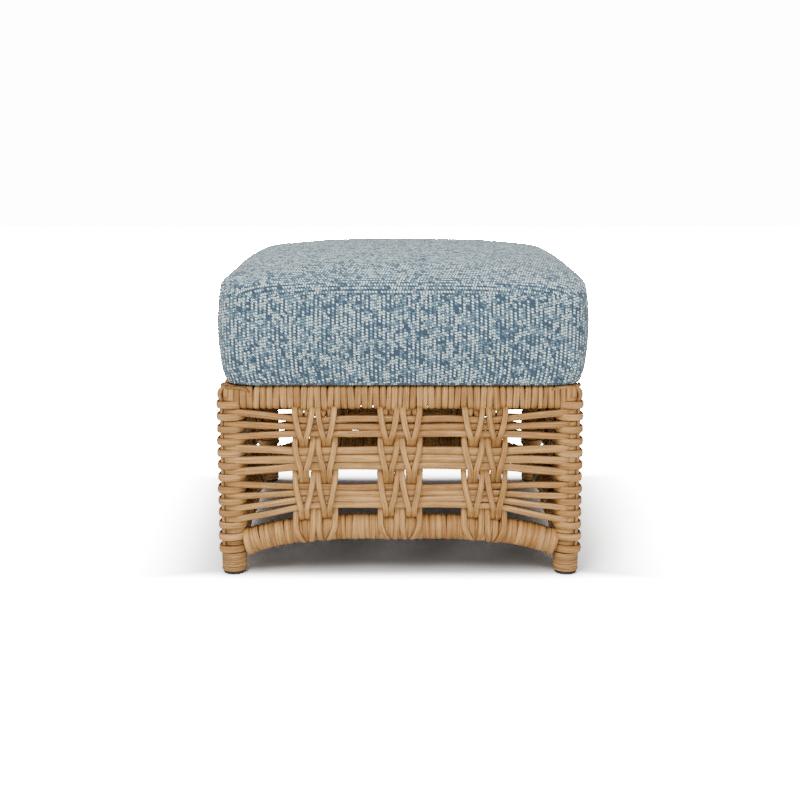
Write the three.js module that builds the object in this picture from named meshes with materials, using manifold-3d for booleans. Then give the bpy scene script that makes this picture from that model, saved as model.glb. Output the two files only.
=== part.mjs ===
import * as THREE from 'three';
import { mergeVertices } from 'three/addons/utils/BufferGeometryUtils.js';
import Module from 'manifold-3d';

// An outdoor ottoman footstool: a tube frame wrapped in resin wicker, open woven panels on
// all four sides and a loose box cushion. Millimetres, +Z up, front towards -Y, origin on
// the floor below the middle of the frame.

// Frame
const leg_spacing_width = 510;
const leg_spacing_depth = 510;
const frame_height = 294;
const leg_tube_diameter = 25;
const leg_tube_wall = 1.5;
const rail_tube_size = 25;
const rail_tube_wall = 1.5;
const arch_tube_diameter = 25;
const arch_tube_wall = 1.5;

// Wicker
const strand_width = 9.5;
const strand_thickness = 6;
const rail_wrap_thickness = 5;
const arch_wrap_thickness = 6;
const loop_swell = 4;
const stake_width = 8;
const stake_pair_spacing = 34.5;
const stake_open_half = 13;
const stake_closed_half = 4.25;
const stake_squeeze = 1.1;
const stake_group_spacing = 128;
const tier_strand_counts = [3, 3, 4];
const tier_side_pitches = [10.4, 11.4, 9.9];
const strand_squeeze = 0.6;

// Feet
const glide_height = 5;
const glide_diameter = 34;
const glide_chamfer = 1.5;
const glide_stem_length = 20;
const cuff_drop = 3;
const cuff_thickness = 6;
const cuff_groove_depth = 0.8;

// Deck
const slat_width = 34;
const slat_thickness = 3;
const slat_drop = 8;
const bearer_width = 20;

// Cushion
const cushion_overhang = 31;
const cushion_bottom_seam_height = 11;
const cushion_boxing_height = 130;
const cushion_crown = 54;
const cushion_side_draw = 5;
const cushion_boxing_bulge = 5;
const cushion_bottom_inset = 13;
const cover_thickness = 2;
const zip_band_height = 16;
const zip_band_proud = 0.8;
const zip_tooth_height = 2.4;
const zip_tooth_depth = 1.2;
const zip_slit = 0.6;
const zip_slit_depth = 20;
const slider_length = 11;
const slider_height = 9;
const slider_wall = 1.6;
const pull_length = 16;
const pull_width = 6;

// Clearances
const fit_gap = 0.3;
const weave_gap = 0.4;
const overrun = 4;
const weld_reach = 0.0001;

// Shares and counts
const arch_crown_share = 0.257;
const arch_rise_share = 0.095;
const arch_bend_share = 3.6;
const tier_height_shares = [0.789, 0.6225, 0.425];
const tier_station_shares = [1, 0.78, 0.6, 0.1];
const tier_ease_shares = [0, 0.42, 1, 1];
const crown_ring_shares = [0.96, 0.86, 0.66, 0.4, 0.16];
const under_ring_share = 0.4;
const boxing_ring_shares = [[0, 0.6], [0.35, 0.2], [0.75, 0], [1, 0.6]];
const top_seam_inset_share = 0.6;
const back_inset_share = 0.2;
const cushion_corner_share = 7;
const crown_fall_share = 0.42;
const zip_length_share = 0.734;
const zip_bed_share = 0.25;
const fused_depth_share = 0.25;
const loop_start_share = 0.4;
const winding_start_turn = 1.25 * Math.PI;
const tube_sides = 12;
const arch_tube_sides = 6;
const wrap_sides = 8;
const cuff_grooves = 3;
const slat_count = 5;
const cushion_points = 24;
const arch_stations = 8;
const loop_count = 12;

// Sizes that follow from the ones above
const leg_radius = leg_tube_diameter / 2;
const leg_wrap_radius = leg_radius + strand_thickness;
const loop_radius = leg_wrap_radius + loop_swell;
const loop_clearance = (leg_wrap_radius + loop_swell / 2 + fit_gap) / Math.cos(Math.PI / tube_sides);
const tier_plane = leg_radius + strand_thickness / 2;
const stake_offset = strand_thickness + weave_gap;
const rail_half = rail_tube_size / 2;
const rail_wrap_half = rail_half + rail_wrap_thickness;
const rail_centre_height = frame_height - rail_wrap_half;
const rail_bottom = rail_centre_height - rail_wrap_half;
const arch_wrap_apothem = arch_tube_diameter / 2 + arch_wrap_thickness;
const first_loop_height = rail_bottom - strand_width / 2 - weave_gap;
const arch_crown_height = frame_height * arch_crown_share;
const arch_rise = frame_height * arch_rise_share;
const arch_low_height = arch_crown_height - arch_rise;
const cuff_top = arch_low_height - arch_tube_diameter / 2 - cuff_drop;
const cuff_height = cuff_top - glide_height;
const loop_pitch = (first_loop_height - cuff_top) / loop_count;
const tier_heights = tier_height_shares.map((share) => share * frame_height);
const octagon_stretch = 1 / Math.cos(Math.PI / wrap_sides);
const half_width = leg_spacing_width / 2;
const half_depth = leg_spacing_depth / 2;
const cushion_width = leg_spacing_width + 2 * cushion_overhang;
const cushion_depth = leg_spacing_depth + 2 * cushion_overhang;
const zip_length = cushion_width * zip_length_share;

const wasm = await Module();
wasm.setup();

// A closed geometry as a solid that can be cut and joined.
function solidOf(geometry) {
  const plain = geometry.clone();
  plain.deleteAttribute('normal');
  plain.deleteAttribute('uv');
  const merged = mergeVertices(plain, weld_reach);
  return new wasm.Manifold(new wasm.Mesh({
    numProp: 3,
    vertProperties: new Float32Array(merged.attributes.position.array),
    triVerts: new Uint32Array(merged.index.array),
  }));
}

function geometryOf(solid) {
  const mesh = solid.getMesh();
  const geometry = new THREE.BufferGeometry();
  geometry.setAttribute('position', new THREE.BufferAttribute(mesh.vertProperties, 3));
  geometry.setIndex(new THREE.BufferAttribute(mesh.triVerts, 1));
  return geometry;
}

function joined(solids) {
  return solids.reduce((whole, solid) => whole.add(solid));
}

function without(solid, cutters) {
  return cutters.reduce((rest, cutter) => rest.subtract(cutter), solid);
}

// A closed skin over a row of rings, each ring a list of points with as many as the next.
function loft(rings) {
  const count = rings[0].length;
  const points = rings.flat();
  const faces = [];
  for (let ring = 0; ring + 1 < rings.length; ring += 1) {
    for (let i = 0; i < count; i += 1) {
      const a = ring * count + i;
      const b = ring * count + (i + 1) % count;
      faces.push(a, b, b + count, a, b + count, a + count);
    }
  }
  const last = (rings.length - 1) * count;
  for (let i = 1; i + 1 < count; i += 1) {
    faces.push(0, i + 1, i, last, last + i, last + i + 1);
  }
  const geometry = new THREE.BufferGeometry().setFromPoints(points);
  geometry.setIndex(faces);
  return geometry;
}

// A strand along points: its section spans `width` along `across` and `thickness` square to it.
function strandRings(points, across, section) {
  return points.map((point, i) => {
    const before = points[Math.max(i - 1, 0)];
    const after = points[Math.min(i + 1, points.length - 1)];
    const along = after.clone().sub(before).normalize();
    const wide = across.clone().addScaledVector(along, -across.dot(along)).normalize();
    const thick = along.clone().cross(wide);
    return section.map(([u, v]) => point.clone().addScaledVector(wide, u).addScaledVector(thick, v));
  });
}

function strand(points, across, section) {
  return solidOf(loft(strandRings(points, across, section)));
}

// Sections, each a ring of places across and through the strand.

function diamondSection(width, thickness) {
  return [[width / 2, 0], [0, thickness / 2], [-width / 2, 0], [0, -thickness / 2]];
}

function roundSection(radius, sides, turn = 0) {
  return Array.from({ length: sides }, (_, i) => {
    const angle = turn + i * 2 * Math.PI / sides;
    return [radius * Math.cos(angle), radius * Math.sin(angle)];
  });
}

function box(width, depth, height, x, y, z) {
  return solidOf(new THREE.BoxGeometry(width, depth, height).translate(x, y, z));
}

// An upright round post, or the space for one, about the line through x and y.
function post(radius, bottom, top, x = 0, y = 0) {
  const geometry = new THREE.CylinderGeometry(radius, radius, top - bottom, tube_sides);
  geometry.rotateX(Math.PI / 2);
  return solidOf(geometry.translate(x, y, (top + bottom) / 2));
}

function material(color, roughness, metalness) {
  return new THREE.MeshStandardMaterial({ color, roughness, metalness });
}

function piece(name, solid, finish) {
  const mesh = new THREE.Mesh(geometryOf(solid), finish());
  mesh.name = name;
  return mesh;
}

const wicker = () => material(0xc39a66, 0.55, 0);
const wickerDark = () => material(0xa98252, 0.6, 0);
const tubeMetal = () => material(0x8a6a48, 0.45, 0.6);
const slatMetal = () => material(0x4b4037, 0.5, 0.5);
const blackPlastic = () => material(0x16181a, 0.5, 0);
const coverCloth = () => material(0x6f93ad, 0.95, 0);
const foam = () => material(0xe6e2d6, 0.98, 0);
const zipMetal = () => material(0x53606a, 0.4, 0.7);

// Legs, in a frame of their own: the post line at zero, outer corner towards -X and -Y

function legTube() {
  const bottom = glide_height + fit_gap;
  const top = frame_height - rail_wrap_thickness;
  const outer = post(leg_radius, bottom, top);
  const bore = post(leg_radius - leg_tube_wall, bottom - overrun, top + overrun);
  return without(outer, [bore]);
}

function glide() {
  const radius = glide_diameter / 2;
  const stem = leg_radius - leg_tube_wall - fit_gap;
  const profile = [
    [0, 0], [radius - glide_chamfer, 0], [radius, glide_chamfer], [radius, glide_height],
    [stem, glide_height], [stem, glide_height + glide_stem_length],
    [0, glide_height + glide_stem_length],
  ];
  return lathe(profile);
}

function lathe(profile) {
  const points = profile.map(([r, z]) => new THREE.Vector2(r, z));
  const geometry = new THREE.LatheGeometry(points, tube_sides);
  return solidOf(geometry.rotateX(Math.PI / 2));
}

// The cuff is a short winding of fine turns between the foot and the lowest loop.
function cuff() {
  const inner = leg_radius + fit_gap;
  const outer = leg_radius + cuff_thickness;
  const bottom = glide_height + fit_gap;
  const turn = cuff_height / cuff_grooves;
  const profile = [[inner, bottom]];
  for (let i = 0; i < cuff_grooves; i += 1) {
    const start = bottom + i * turn;
    profile.push([outer - cuff_groove_depth, start], [outer, start + turn / 2]);
  }
  profile.push([outer - cuff_groove_depth, cuff_top], [inner, cuff_top], [inner, bottom]);
  return lathe(profile);
}

// Radius of the leg's winding at one of eight directions from the outer corner, where an
// upright stake lies under every other loop. The loops over the stake swell, and the strands
// between them stay close to the leg.
function loopRadius(direction, over) {
  const stake = leg_wrap_radius + strand_thickness;
  if (!over) {
    return direction === 0 ? stake : leg_wrap_radius;
  }
  const corner = stake + strand_thickness;
  const inner = leg_wrap_radius + loop_swell / 2;
  return [corner, loop_radius, inner, inner, leg_wrap_radius, inner, inner, loop_radius][direction];
}

function legWinding() {
  const lowest = cuff_top + fit_gap;
  const levels = [];
  for (let z = first_loop_height; z > lowest + loop_pitch / 2; z -= loop_pitch) {
    levels.unshift(z);
  }
  levels.unshift(lowest);
  for (let z = first_loop_height + loop_pitch; z < frame_height; z += loop_pitch) {
    levels.push(z);
  }
  levels.push(frame_height);
  const turns = levels.flatMap((z, i) => (i === 0 ? [[z, false]] : [[(z + levels[i - 1]) / 2, true], [z, false]]));
  const rings = turns.map(([z, over]) => Array.from({ length: wrap_sides }, (_, i) => {
    const angle = winding_start_turn + i * 2 * Math.PI / wrap_sides;
    const radius = loopRadius(i, over);
    return new THREE.Vector3(radius * Math.cos(angle), radius * Math.sin(angle), z);
  }));
  return solidOf(loft(rings));
}

// The wrap closes over the tube's top and leaves room where the rails' tubes come in.
function legWrap() {
  const inside = leg_radius + fit_gap;
  const tubeTop = frame_height - rail_wrap_thickness + fit_gap;
  const railRoom = rail_tube_size + fit_gap * 2;
  const archRoom = arch_tube_diameter + weave_gap * 2;
  const reach = loop_radius + overrun;
  const archClimb = archHeight(half_width - loop_radius) - arch_low_height;
  const archTall = archRoom + archClimb * 2;
  const rooms = [0, 1].map((side) => {
    const railCut = box(reach, railRoom, railRoom, reach / 2, 0, rail_centre_height);
    const archCut = box(reach, archRoom, archTall, reach / 2, 0, arch_low_height);
    return railCut.add(archCut).rotate([0, 0, side * 90]);
  });
  return without(legWinding(), [post(inside, cuff_top - overrun, tubeTop), ...rooms]);
}

// Panels, in a frame of their own: the legs' centre plane at y = 0, the outside towards -Y

function archHeight(x) {
  const share = Math.abs(x) / (half_width - leg_radius);
  return arch_crown_height - arch_rise * share ** arch_bend_share;
}

// Places along a lower rail: the same stations for tube and wrap, with the tube's ends added.
function archPoints(span, tubeEnds) {
  const half = span / 2;
  const stretch = (half_width - leg_radius) / (half - leg_radius);
  const stations = Array.from({ length: arch_stations + 1 }, (_, i) => (
    -Math.cos(i / arch_stations * Math.PI) * (half - loop_clearance)));
  if (tubeEnds) {
    stations.unshift(leg_radius + fit_gap - half);
    stations.push(half - leg_radius - fit_gap);
  }
  return stations.map((x) => new THREE.Vector3(x, 0, archHeight(x * stretch)));
}

function railEnds(reach) {
  return [-reach, reach].map((x) => new THREE.Vector3(x, 0, rail_centre_height));
}

// A bar along X whose section stays upright, so that its ends stand square to the legs.
function uprightBar(points, section) {
  const rings = points.map((point) => section.map(([y, z]) => (
    new THREE.Vector3(point.x, point.y + y, point.z + z))));
  return solidOf(loft(rings));
}

// The same line run on straight past both its ends.
function longer(points) {
  const [first, second] = points;
  const [secondLast, last] = points.slice(-2);
  const before = first.clone().sub(second).setLength(overrun).add(first);
  const after = last.clone().sub(secondLast).setLength(overrun).add(last);
  return [before, ...points, after];
}

function legSpaces(span, radius) {
  return [-1, 1].map((side) => post(radius, 0, frame_height + overrun, side * span / 2));
}

function squareRing(half) {
  return [[half, half], [-half, half], [-half, -half], [half, -half]];
}

function chamferedRing(half, chamfer) {
  const flat = half - chamfer;
  return [[half, flat], [flat, half], [-flat, half], [-half, flat],
    [-half, -flat], [-flat, -half], [flat, -half], [half, -flat]];
}

const inward = new THREE.Vector3(0, 1, 0);

function topRail(span) {
  const ends = railEnds(span / 2 - leg_radius - fit_gap);
  const bore = uprightBar(longer(ends), squareRing(rail_half - rail_tube_wall));
  return uprightBar(ends, squareRing(rail_half)).subtract(bore);
}

function topWrap(span) {
  const ends = railEnds(span / 2 - loop_clearance);
  const bore = uprightBar(longer(ends), squareRing(rail_half + fit_gap));
  return uprightBar(ends, chamferedRing(rail_wrap_half, rail_wrap_thickness)).subtract(bore);
}

function archRail(span) {
  const points = archPoints(span, true);
  const inner = roundSection(arch_tube_diameter / 2 - arch_tube_wall, arch_tube_sides);
  const bore = uprightBar(longer(points), inner);
  return uprightBar(points, roundSection(arch_tube_diameter / 2, arch_tube_sides)).subtract(bore);
}

function archWrap(span) {
  const points = archPoints(span, false);
  const section = roundSection(arch_wrap_apothem * octagon_stretch, wrap_sides, Math.PI / wrap_sides);
  const inner = roundSection(arch_tube_diameter / 2 + fit_gap * 2, arch_tube_sides);
  return uprightBar(points, section).subtract(uprightBar(archPoints(span, true), inner));
}

function tierHalf(tier) {
  return ((tier_strand_counts[tier] - 1) * tier_side_pitches[tier] + strand_width) / 2;
}

// One strand of a tier, from leg to leg: spread by the loops of the legs, drawn together by
// the stakes, and squeezed against its neighbours in the middle of the panel.
function tierStrand(span, tier, index) {
  const half = span / 2;
  const first = tier_strand_counts.slice(0, tier).reduce((sum, count) => sum + count, 0);
  const legLevel = first_loop_height - (first + index) * loop_pitch;
  const place = (tier_strand_counts[tier] - 1) / 2 - index;
  const pitches = [0, 0, tier_side_pitches[tier], strand_width - strand_squeeze];
  const right = tier_station_shares.map((share, i) => {
    const drawn = tier_heights[tier] + place * (pitches[i] || tier_side_pitches[tier]);
    return [share * half, legLevel + (drawn - legLevel) * tier_ease_shares[i]];
  });
  const left = right.map(([x, z]) => [-x, z]);
  const points = [...left, ...right.reverse()].map(([x, z]) => new THREE.Vector3(x, -tier_plane, z));
  return strand(points, inward, diamondSection(strand_thickness, strand_width));
}

function tierBundle(span, tier) {
  const count = tier_strand_counts[tier];
  const strands = Array.from({ length: count }, (_, i) => tierStrand(span, tier, i));
  const slope = strand_width / loop_pitch;
  const reach = leg_wrap_radius + loop_swell * slope + fit_gap;
  return without(joined(strands), legSpaces(span, reach));
}

// One stake of a group goes down in front of the first and third tiers and behind the second,
// once round the lower rail, and up again the other way about. Two stakes that draw together
// at the foot of a tier make a V, and the stakes press on each other where the tiers change.
function stake(x, side, railHeight) {
  const front = -tier_plane - stake_offset;
  const back = -tier_plane + stake_offset;
  const open = x + side * stake_open_half;
  const closed = x + side * stake_closed_half;
  const pressedIn = closed - side * stake_squeeze;
  const pressedOut = open + side * stake_squeeze;
  const above = tier_heights.map((z, tier) => z + tierHalf(tier) + weave_gap);
  const below = tier_heights.map((z, tier) => z - tierHalf(tier) - weave_gap);
  const lean = (stake_open_half - stake_closed_half + stake_squeeze) / (rail_bottom - below[0]);
  const top = rail_bottom - fit_gap - lean * stake_width / 2;
  const reach = arch_wrap_apothem + weave_gap + strand_thickness / 2;
  const points = [
    [open, front, top], [pressedIn, front, below[0]], [pressedIn, back, above[1]],
    [pressedOut, back, below[1]], [open, front, above[2]], [closed, front, below[2]],
    [closed, -reach * loop_start_share, railHeight + reach], [closed, reach, railHeight + reach],
    [closed, reach, railHeight - reach], [closed, -reach, railHeight - reach],
    [open, -reach, railHeight + reach * loop_start_share], [open, back, below[2]],
    [closed, back, above[2]], [closed, front, below[1]], [open, front, above[1]],
    [open, back, below[0]], [closed, back, top],
  ].map((place) => new THREE.Vector3(...place));
  return strand(points, new THREE.Vector3(1, 0, 0), diamondSection(stake_width, strand_thickness));
}

function stakeGroup(span, centre) {
  const stretch = (half_width - leg_radius) / (span / 2 - leg_radius);
  const stakes = [-1, 1].flatMap((pair) => [-1, 1].map((side) => {
    const x = centre + pair * stake_pair_spacing / 2;
    return stake(x, side, archHeight((x + side * stake_closed_half) * stretch));
  }));
  return joined(stakes);
}

// Cushion

const cushion_bottom = frame_height + fit_gap;
const lower_seam = cushion_bottom + cushion_bottom_seam_height;
const upper_seam = lower_seam + cushion_boxing_height;

function power(value, exponent) {
  return Math.sign(value) * Math.abs(value) ** exponent;
}

// The side is drawn in most midway between two corners.
function sideDraw(along, across) {
  return cushion_side_draw * (1 - along ** 2) * Math.abs(across) ** cushion_corner_share;
}

function cushionPlan(inset, share) {
  const halfX = cushion_width / 2 - inset;
  const halfY = cushion_depth / 2 - inset;
  return Array.from({ length: cushion_points }, (_, i) => {
    const angle = i * 2 * Math.PI / cushion_points;
    const u = power(Math.cos(angle), 2 / cushion_corner_share);
    const v = power(Math.sin(angle), 2 / cushion_corner_share);
    const x = u * halfX - Math.sign(u) * sideDraw(v, u);
    const y = v * halfY - Math.sign(v) * sideDraw(u, v);
    return { x: x * share, y: y * share, rise: ((1 - (u * share) ** 2) * (1 - (v * share) ** 2)) };
  });
}

function cushionRing(inset, share, height, crown, skin) {
  return cushionPlan(inset + skin, share).map(({ x, y, rise }) => (
    new THREE.Vector3(x, y, height + crown * Math.max(rise, 0) ** crown_fall_share)));
}

// The cushion's form, drawn in all round by the depth `skin`.
function cushionForm(skin) {
  const bulge = cushion_boxing_bulge;
  const side = boxing_ring_shares.map(([rise, inset]) => (
    cushionRing(bulge * inset, 1, lower_seam + cushion_boxing_height * rise, 0, skin)));
  const under = [
    cushionRing(cushion_bottom_inset, under_ring_share, cushion_bottom + skin, 0, skin),
    cushionRing(cushion_bottom_inset, 1, cushion_bottom + skin, 0, skin),
  ];
  const top = crown_ring_shares.map((share) => (
    cushionRing(bulge * top_seam_inset_share, share, upper_seam - skin, cushion_crown, skin)));
  return solidOf(loft([...under, ...side, ...top]));
}

// Outermost place of the back boxing at a distance x from the middle, at the zip's height.
function backFace(x) {
  const share = 2 * x / cushion_width;
  const drawn = cushion_side_draw * (1 - share ** 2);
  return cushion_depth / 2 - cushion_boxing_bulge * back_inset_share - drawn;
}

const zip_height = (lower_seam + upper_seam) / 2;
const zip_face = backFace(zip_length / 2) + zip_band_proud;

function zipBand(clearance) {
  const inner = backFace(0) - cover_thickness * zip_bed_share - clearance;
  const depth = zip_face - inner;
  const room = clearance * 2;
  return box(zip_length + room, depth, zip_band_height + room, 0, inner + depth / 2, zip_height);
}

function cushionCover() {
  const hollow = cushionForm(cover_thickness);
  const walls = cushionForm(0).subtract(hollow).add(zipBand(0));
  const teeth = [-1, 1].map((side) => {
    const z = zip_height + side * (zip_slit + zip_tooth_height) / 2;
    const depth = zip_tooth_depth + zip_band_proud;
    return box(zip_length, depth, zip_tooth_height, 0, zip_face + zip_tooth_depth - depth / 2, z);
  });
  const slit = box(zip_length - slider_height, zip_slit_depth, zip_slit, 0, zip_face, zip_height);
  return joined([walls, ...teeth]).subtract(slit);
}

function cushionFill() {
  return cushionForm(cover_thickness + fit_gap).subtract(zipBand(fit_gap));
}

function zipSlider() {
  const x = (zip_length - slider_length) / 2 - slider_height / 2;
  const plateBack = zip_face + zip_tooth_depth + fit_gap;
  const flange = slider_height / 2 - zip_slit / 2 - zip_tooth_height - fit_gap;
  const flangeDepth = plateBack + slider_wall - zip_face - fit_gap;
  const plate = box(slider_length, slider_wall, slider_height, x, plateBack + slider_wall / 2, zip_height);
  const flanges = [-1, 1].map((side) => box(
    slider_length, flangeDepth, flange,
    x, zip_face + fit_gap + flangeDepth / 2, zip_height + side * (slider_height - flange) / 2,
  ));
  const pullMiddle = plateBack + slider_wall * (3 / 2 - fused_depth_share);
  const pull = box(pull_width, slider_wall, pull_length, x, pullMiddle, zip_height - pull_length / 2);
  return joined([plate, ...flanges, pull]);
}

// Flat bars across the frame carry the cushion, with a bearer welded under them.
function seatDeck() {
  const lengthX = leg_spacing_width - 2 * (rail_wrap_half + fit_gap);
  const lengthY = leg_spacing_depth - 2 * (rail_wrap_half + fit_gap);
  const top = frame_height - slat_drop;
  const pitch = (lengthY + slat_width) / (slat_count + 1);
  const slats = Array.from({ length: slat_count }, (_, i) => {
    const y = (i - (slat_count - 1) / 2) * pitch;
    return box(lengthX, slat_width, slat_thickness, 0, y, top - slat_thickness / 2);
  });
  const bearerMiddle = top - slat_thickness * (3 / 2 - fused_depth_share);
  const bearer = box(bearer_width, lengthY, slat_thickness, 0, 0, bearerMiddle);
  return joined([...slats, bearer]);
}

// Assembly

const group = new THREE.Group();
group.name = 'outdoor_ottoman';

const corners = ['front_left', 'front_right', 'back_right', 'back_left'];
corners.forEach((corner, i) => {
  const leg = new THREE.Group();
  const sideX = i === 1 || i === 2 ? 1 : -1;
  const sideY = i > 1 ? 1 : -1;
  leg.position.set(sideX * half_width, sideY * half_depth, 0);
  leg.rotation.z = i * Math.PI / 2;
  leg.add(
    piece(`leg_tube_${corner}`, legTube(), tubeMetal),
    piece(`leg_wrap_${corner}`, legWrap(), wicker),
    piece(`foot_cuff_${corner}`, cuff(), wickerDark),
    piece(`foot_glide_${corner}`, glide(), blackPlastic),
  );
  group.add(leg);
});

['front', 'right', 'back', 'left'].forEach((side, i) => {
  const panel = new THREE.Group();
  const crosswise = i % 2 === 1;
  const span = crosswise ? leg_spacing_depth : leg_spacing_width;
  const away = crosswise ? half_width : half_depth;
  panel.position.set([0, away, 0, -away][i], [-away, 0, away, 0][i], 0);
  panel.rotation.z = i * Math.PI / 2;
  panel.add(
    piece(`top_rail_${side}`, topRail(span), tubeMetal),
    piece(`top_rail_wrap_${side}`, topWrap(span), wicker),
    piece(`arch_rail_${side}`, archRail(span), tubeMetal),
    piece(`arch_rail_wrap_${side}`, archWrap(span), wicker),
  );
  tier_heights.forEach((_, tier) => {
    panel.add(piece(`tier_${tier + 1}_${side}`, tierBundle(span, tier), wicker));
  });
  ['left', 'middle', 'right'].forEach((place, k) => {
    const centre = (k - 1) * stake_group_spacing * span / leg_spacing_width;
    panel.add(piece(`stakes_${place}_${side}`, stakeGroup(span, centre), wicker));
  });
  group.add(panel);
});

group.add(
  piece('seat_deck', seatDeck(), slatMetal),
  piece('cushion_cover', cushionCover(), coverCloth),
  piece('cushion_fill', cushionFill(), foam),
  piece('zip_slider', zipSlider(), zipMetal),
);

export default group;
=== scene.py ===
"""The looks of an outdoor ottoman footstool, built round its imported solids."""
import logging
import math
import random
from contextlib import contextmanager
from dataclasses import dataclass, field
from enum import Enum
from typing import Iterator, Sequence

import bpy
import numpy as np
from mathutils import Matrix, Vector


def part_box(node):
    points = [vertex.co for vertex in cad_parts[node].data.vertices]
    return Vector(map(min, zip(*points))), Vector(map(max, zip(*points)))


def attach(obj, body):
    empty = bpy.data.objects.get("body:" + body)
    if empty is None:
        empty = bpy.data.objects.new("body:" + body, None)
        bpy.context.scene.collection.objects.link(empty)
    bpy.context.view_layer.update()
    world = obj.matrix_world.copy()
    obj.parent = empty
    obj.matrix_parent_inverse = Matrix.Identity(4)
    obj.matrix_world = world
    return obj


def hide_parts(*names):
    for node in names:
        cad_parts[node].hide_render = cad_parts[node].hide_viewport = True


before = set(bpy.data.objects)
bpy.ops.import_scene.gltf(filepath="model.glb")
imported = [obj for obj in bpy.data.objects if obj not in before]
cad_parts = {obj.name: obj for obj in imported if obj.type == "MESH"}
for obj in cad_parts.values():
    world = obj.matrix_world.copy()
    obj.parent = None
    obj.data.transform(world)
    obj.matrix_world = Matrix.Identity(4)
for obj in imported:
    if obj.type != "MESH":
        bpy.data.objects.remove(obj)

log = logging.getLogger("ottoman")

Colour = tuple[float, float, float, float]
Line = np.ndarray
Place = tuple[float, float, float]
Span = tuple[float, float]
Piece = bpy.types.Object
Material = bpy.types.Material
Socket = bpy.types.NodeSocket
Tree = bpy.types.NodeTree

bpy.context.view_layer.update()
GRAIN_MAP = "strand"
CLOTH_MAP = "cloth"
TONE = "strand_tone"
EDGE = "strand_edge"
FRAME_BODY = "frame"
CUSHION_BODY = "cushion"
ZIP_BODY = "zip_pull"
ZIP_HEIGHT = 0.3703
CORNER_DEGREES = 225
FRONT_DEGREES = 270
FULL_TURN = 2 * math.pi
UPRIGHT = (0.0, 0.0, 1.0)
SIDEWAYS = (1.0, 0.0, 0.0)
ACROSS_CORNER = (1.0, -1.0, 0.0)
TINY = 1e-12


class Side(Enum):
    """The four sides, each a number of quarter turns from the front."""

    FRONT = 0
    RIGHT = 1
    BACK = 2
    LEFT = 3


class Corner(Enum):
    """The four legs, each a number of quarter turns from the front left one."""

    FRONT_LEFT = 0
    FRONT_RIGHT = 1
    BACK_RIGHT = 2
    BACK_LEFT = 3


def tag(place: Enum) -> str:
    """Gives a side or corner the name it has in the solids."""
    return place.name.lower()


def rgb(red: int, green: int, blue: int) -> Colour:
    """Turns a colour seen on screen into the linear colour that a shader takes.

    Args:
        red, green, blue: parts from 0 to 255.
    Returns:
        Linear red, green and blue with a full alpha.
    """
    def linear(part: int) -> float:
        """Takes one part from the screen's curve to a straight scale."""
        share = part / 255
        return share / 12.92 if share <= 0.04045 else ((share + 0.055) / 1.055) ** 2.4
    return (linear(red), linear(green), linear(blue), 1.0)


def deselect_all() -> None:
    """Leaves object mode with nothing selected."""
    active = bpy.context.view_layer.objects.active
    if active is not None and active.mode != "OBJECT":
        bpy.ops.object.mode_set(mode="OBJECT")
    bpy.ops.object.select_all(action="DESELECT")


def make_active(piece: Piece) -> None:
    """Selects one piece alone and makes it the active one."""
    deselect_all()
    piece.select_set(True)
    bpy.context.view_layer.objects.active = piece


@contextmanager
def editing() -> Iterator[None]:
    """Keeps the active piece in edit mode while the lines under it run."""
    bpy.ops.object.mode_set(mode="EDIT")
    yield
    bpy.ops.object.mode_set(mode="OBJECT")


def apply_modifiers(piece: Piece) -> None:
    """Applies every modifier of a piece, the first one first."""
    make_active(piece)
    for modifier in list(piece.modifiers):
        bpy.ops.object.modifier_apply(modifier=modifier.name)


def read(items: bpy.types.bpy_prop_collection, name: str, width: int = 1, kind: type = float) -> np.ndarray:
    """Reads one property of every item in a mesh's list.

    Args:
        items: the list, such as its points.
        name: the property.
        width: how many numbers each item gives.
        kind: the kind of number.
    Returns:
        The numbers, one row an item where there is more than one.
    """
    values = np.empty(len(items) * width, dtype=kind)
    items.foreach_get(name, values)
    return values.reshape(-1, width) if width > 1 else values


def points_of(piece: Piece) -> np.ndarray:
    """Gives the places of a mesh's points, one row each."""
    return read(piece.data.vertices, "co", 3)


def set_points(piece: Piece, places: np.ndarray) -> None:
    """Moves a mesh's points to the given places."""
    piece.data.vertices.foreach_set("co", np.ascontiguousarray(places, dtype=np.float32).ravel())
    piece.data.update()


def named(piece: Piece, name: str) -> Piece:
    """Names a piece and its mesh."""
    piece.name = piece.data.name = name
    return piece


def copy_of(piece: Piece) -> Piece:
    """Copies a piece with a mesh of its own."""
    copy = piece.copy()
    copy.data = piece.data.copy()
    bpy.context.scene.collection.objects.link(copy)
    return copy


def joined(parts: Sequence[Piece], name: str) -> Piece:
    """Joins meshes into one smooth shaded piece.

    Args:
        parts: the meshes, used up by this.
        name: the piece's name.
    Returns:
        The joined piece.
    """
    make_active(parts[0])
    for part in parts:
        part.select_set(True)
    if len(parts) > 1:
        bpy.ops.object.join()
    bpy.ops.object.shade_smooth()
    return named(bpy.context.object, name)


def quarter_copies(piece: Piece, names: Sequence[str]) -> list[Piece]:
    """Repeats the piece of the front, or of the front left leg, round the other quarters.

    Args:
        piece: the modelled piece.
        names: a name for each quarter turn.
    Returns:
        Four pieces, each with its own mesh.
    """
    pieces = [named(piece, names[0])]
    for quarter, name in enumerate(names[1:], 1):
        copy = named(copy_of(piece), name)
        copy.data.transform(Matrix.Rotation(quarter * math.pi / 2, 4, "Z"))
        pieces.append(copy)
    return pieces


def unit(rows: np.ndarray) -> np.ndarray:
    """Brings each row to a length of one."""
    return rows / np.linalg.norm(rows, axis=1)[:, None]


def run_along(line: Line) -> np.ndarray:
    """Gives the length along a line at each of its places."""
    return np.concatenate([[0], np.cumsum(np.linalg.norm(np.diff(line, axis=0), axis=1))])


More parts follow.
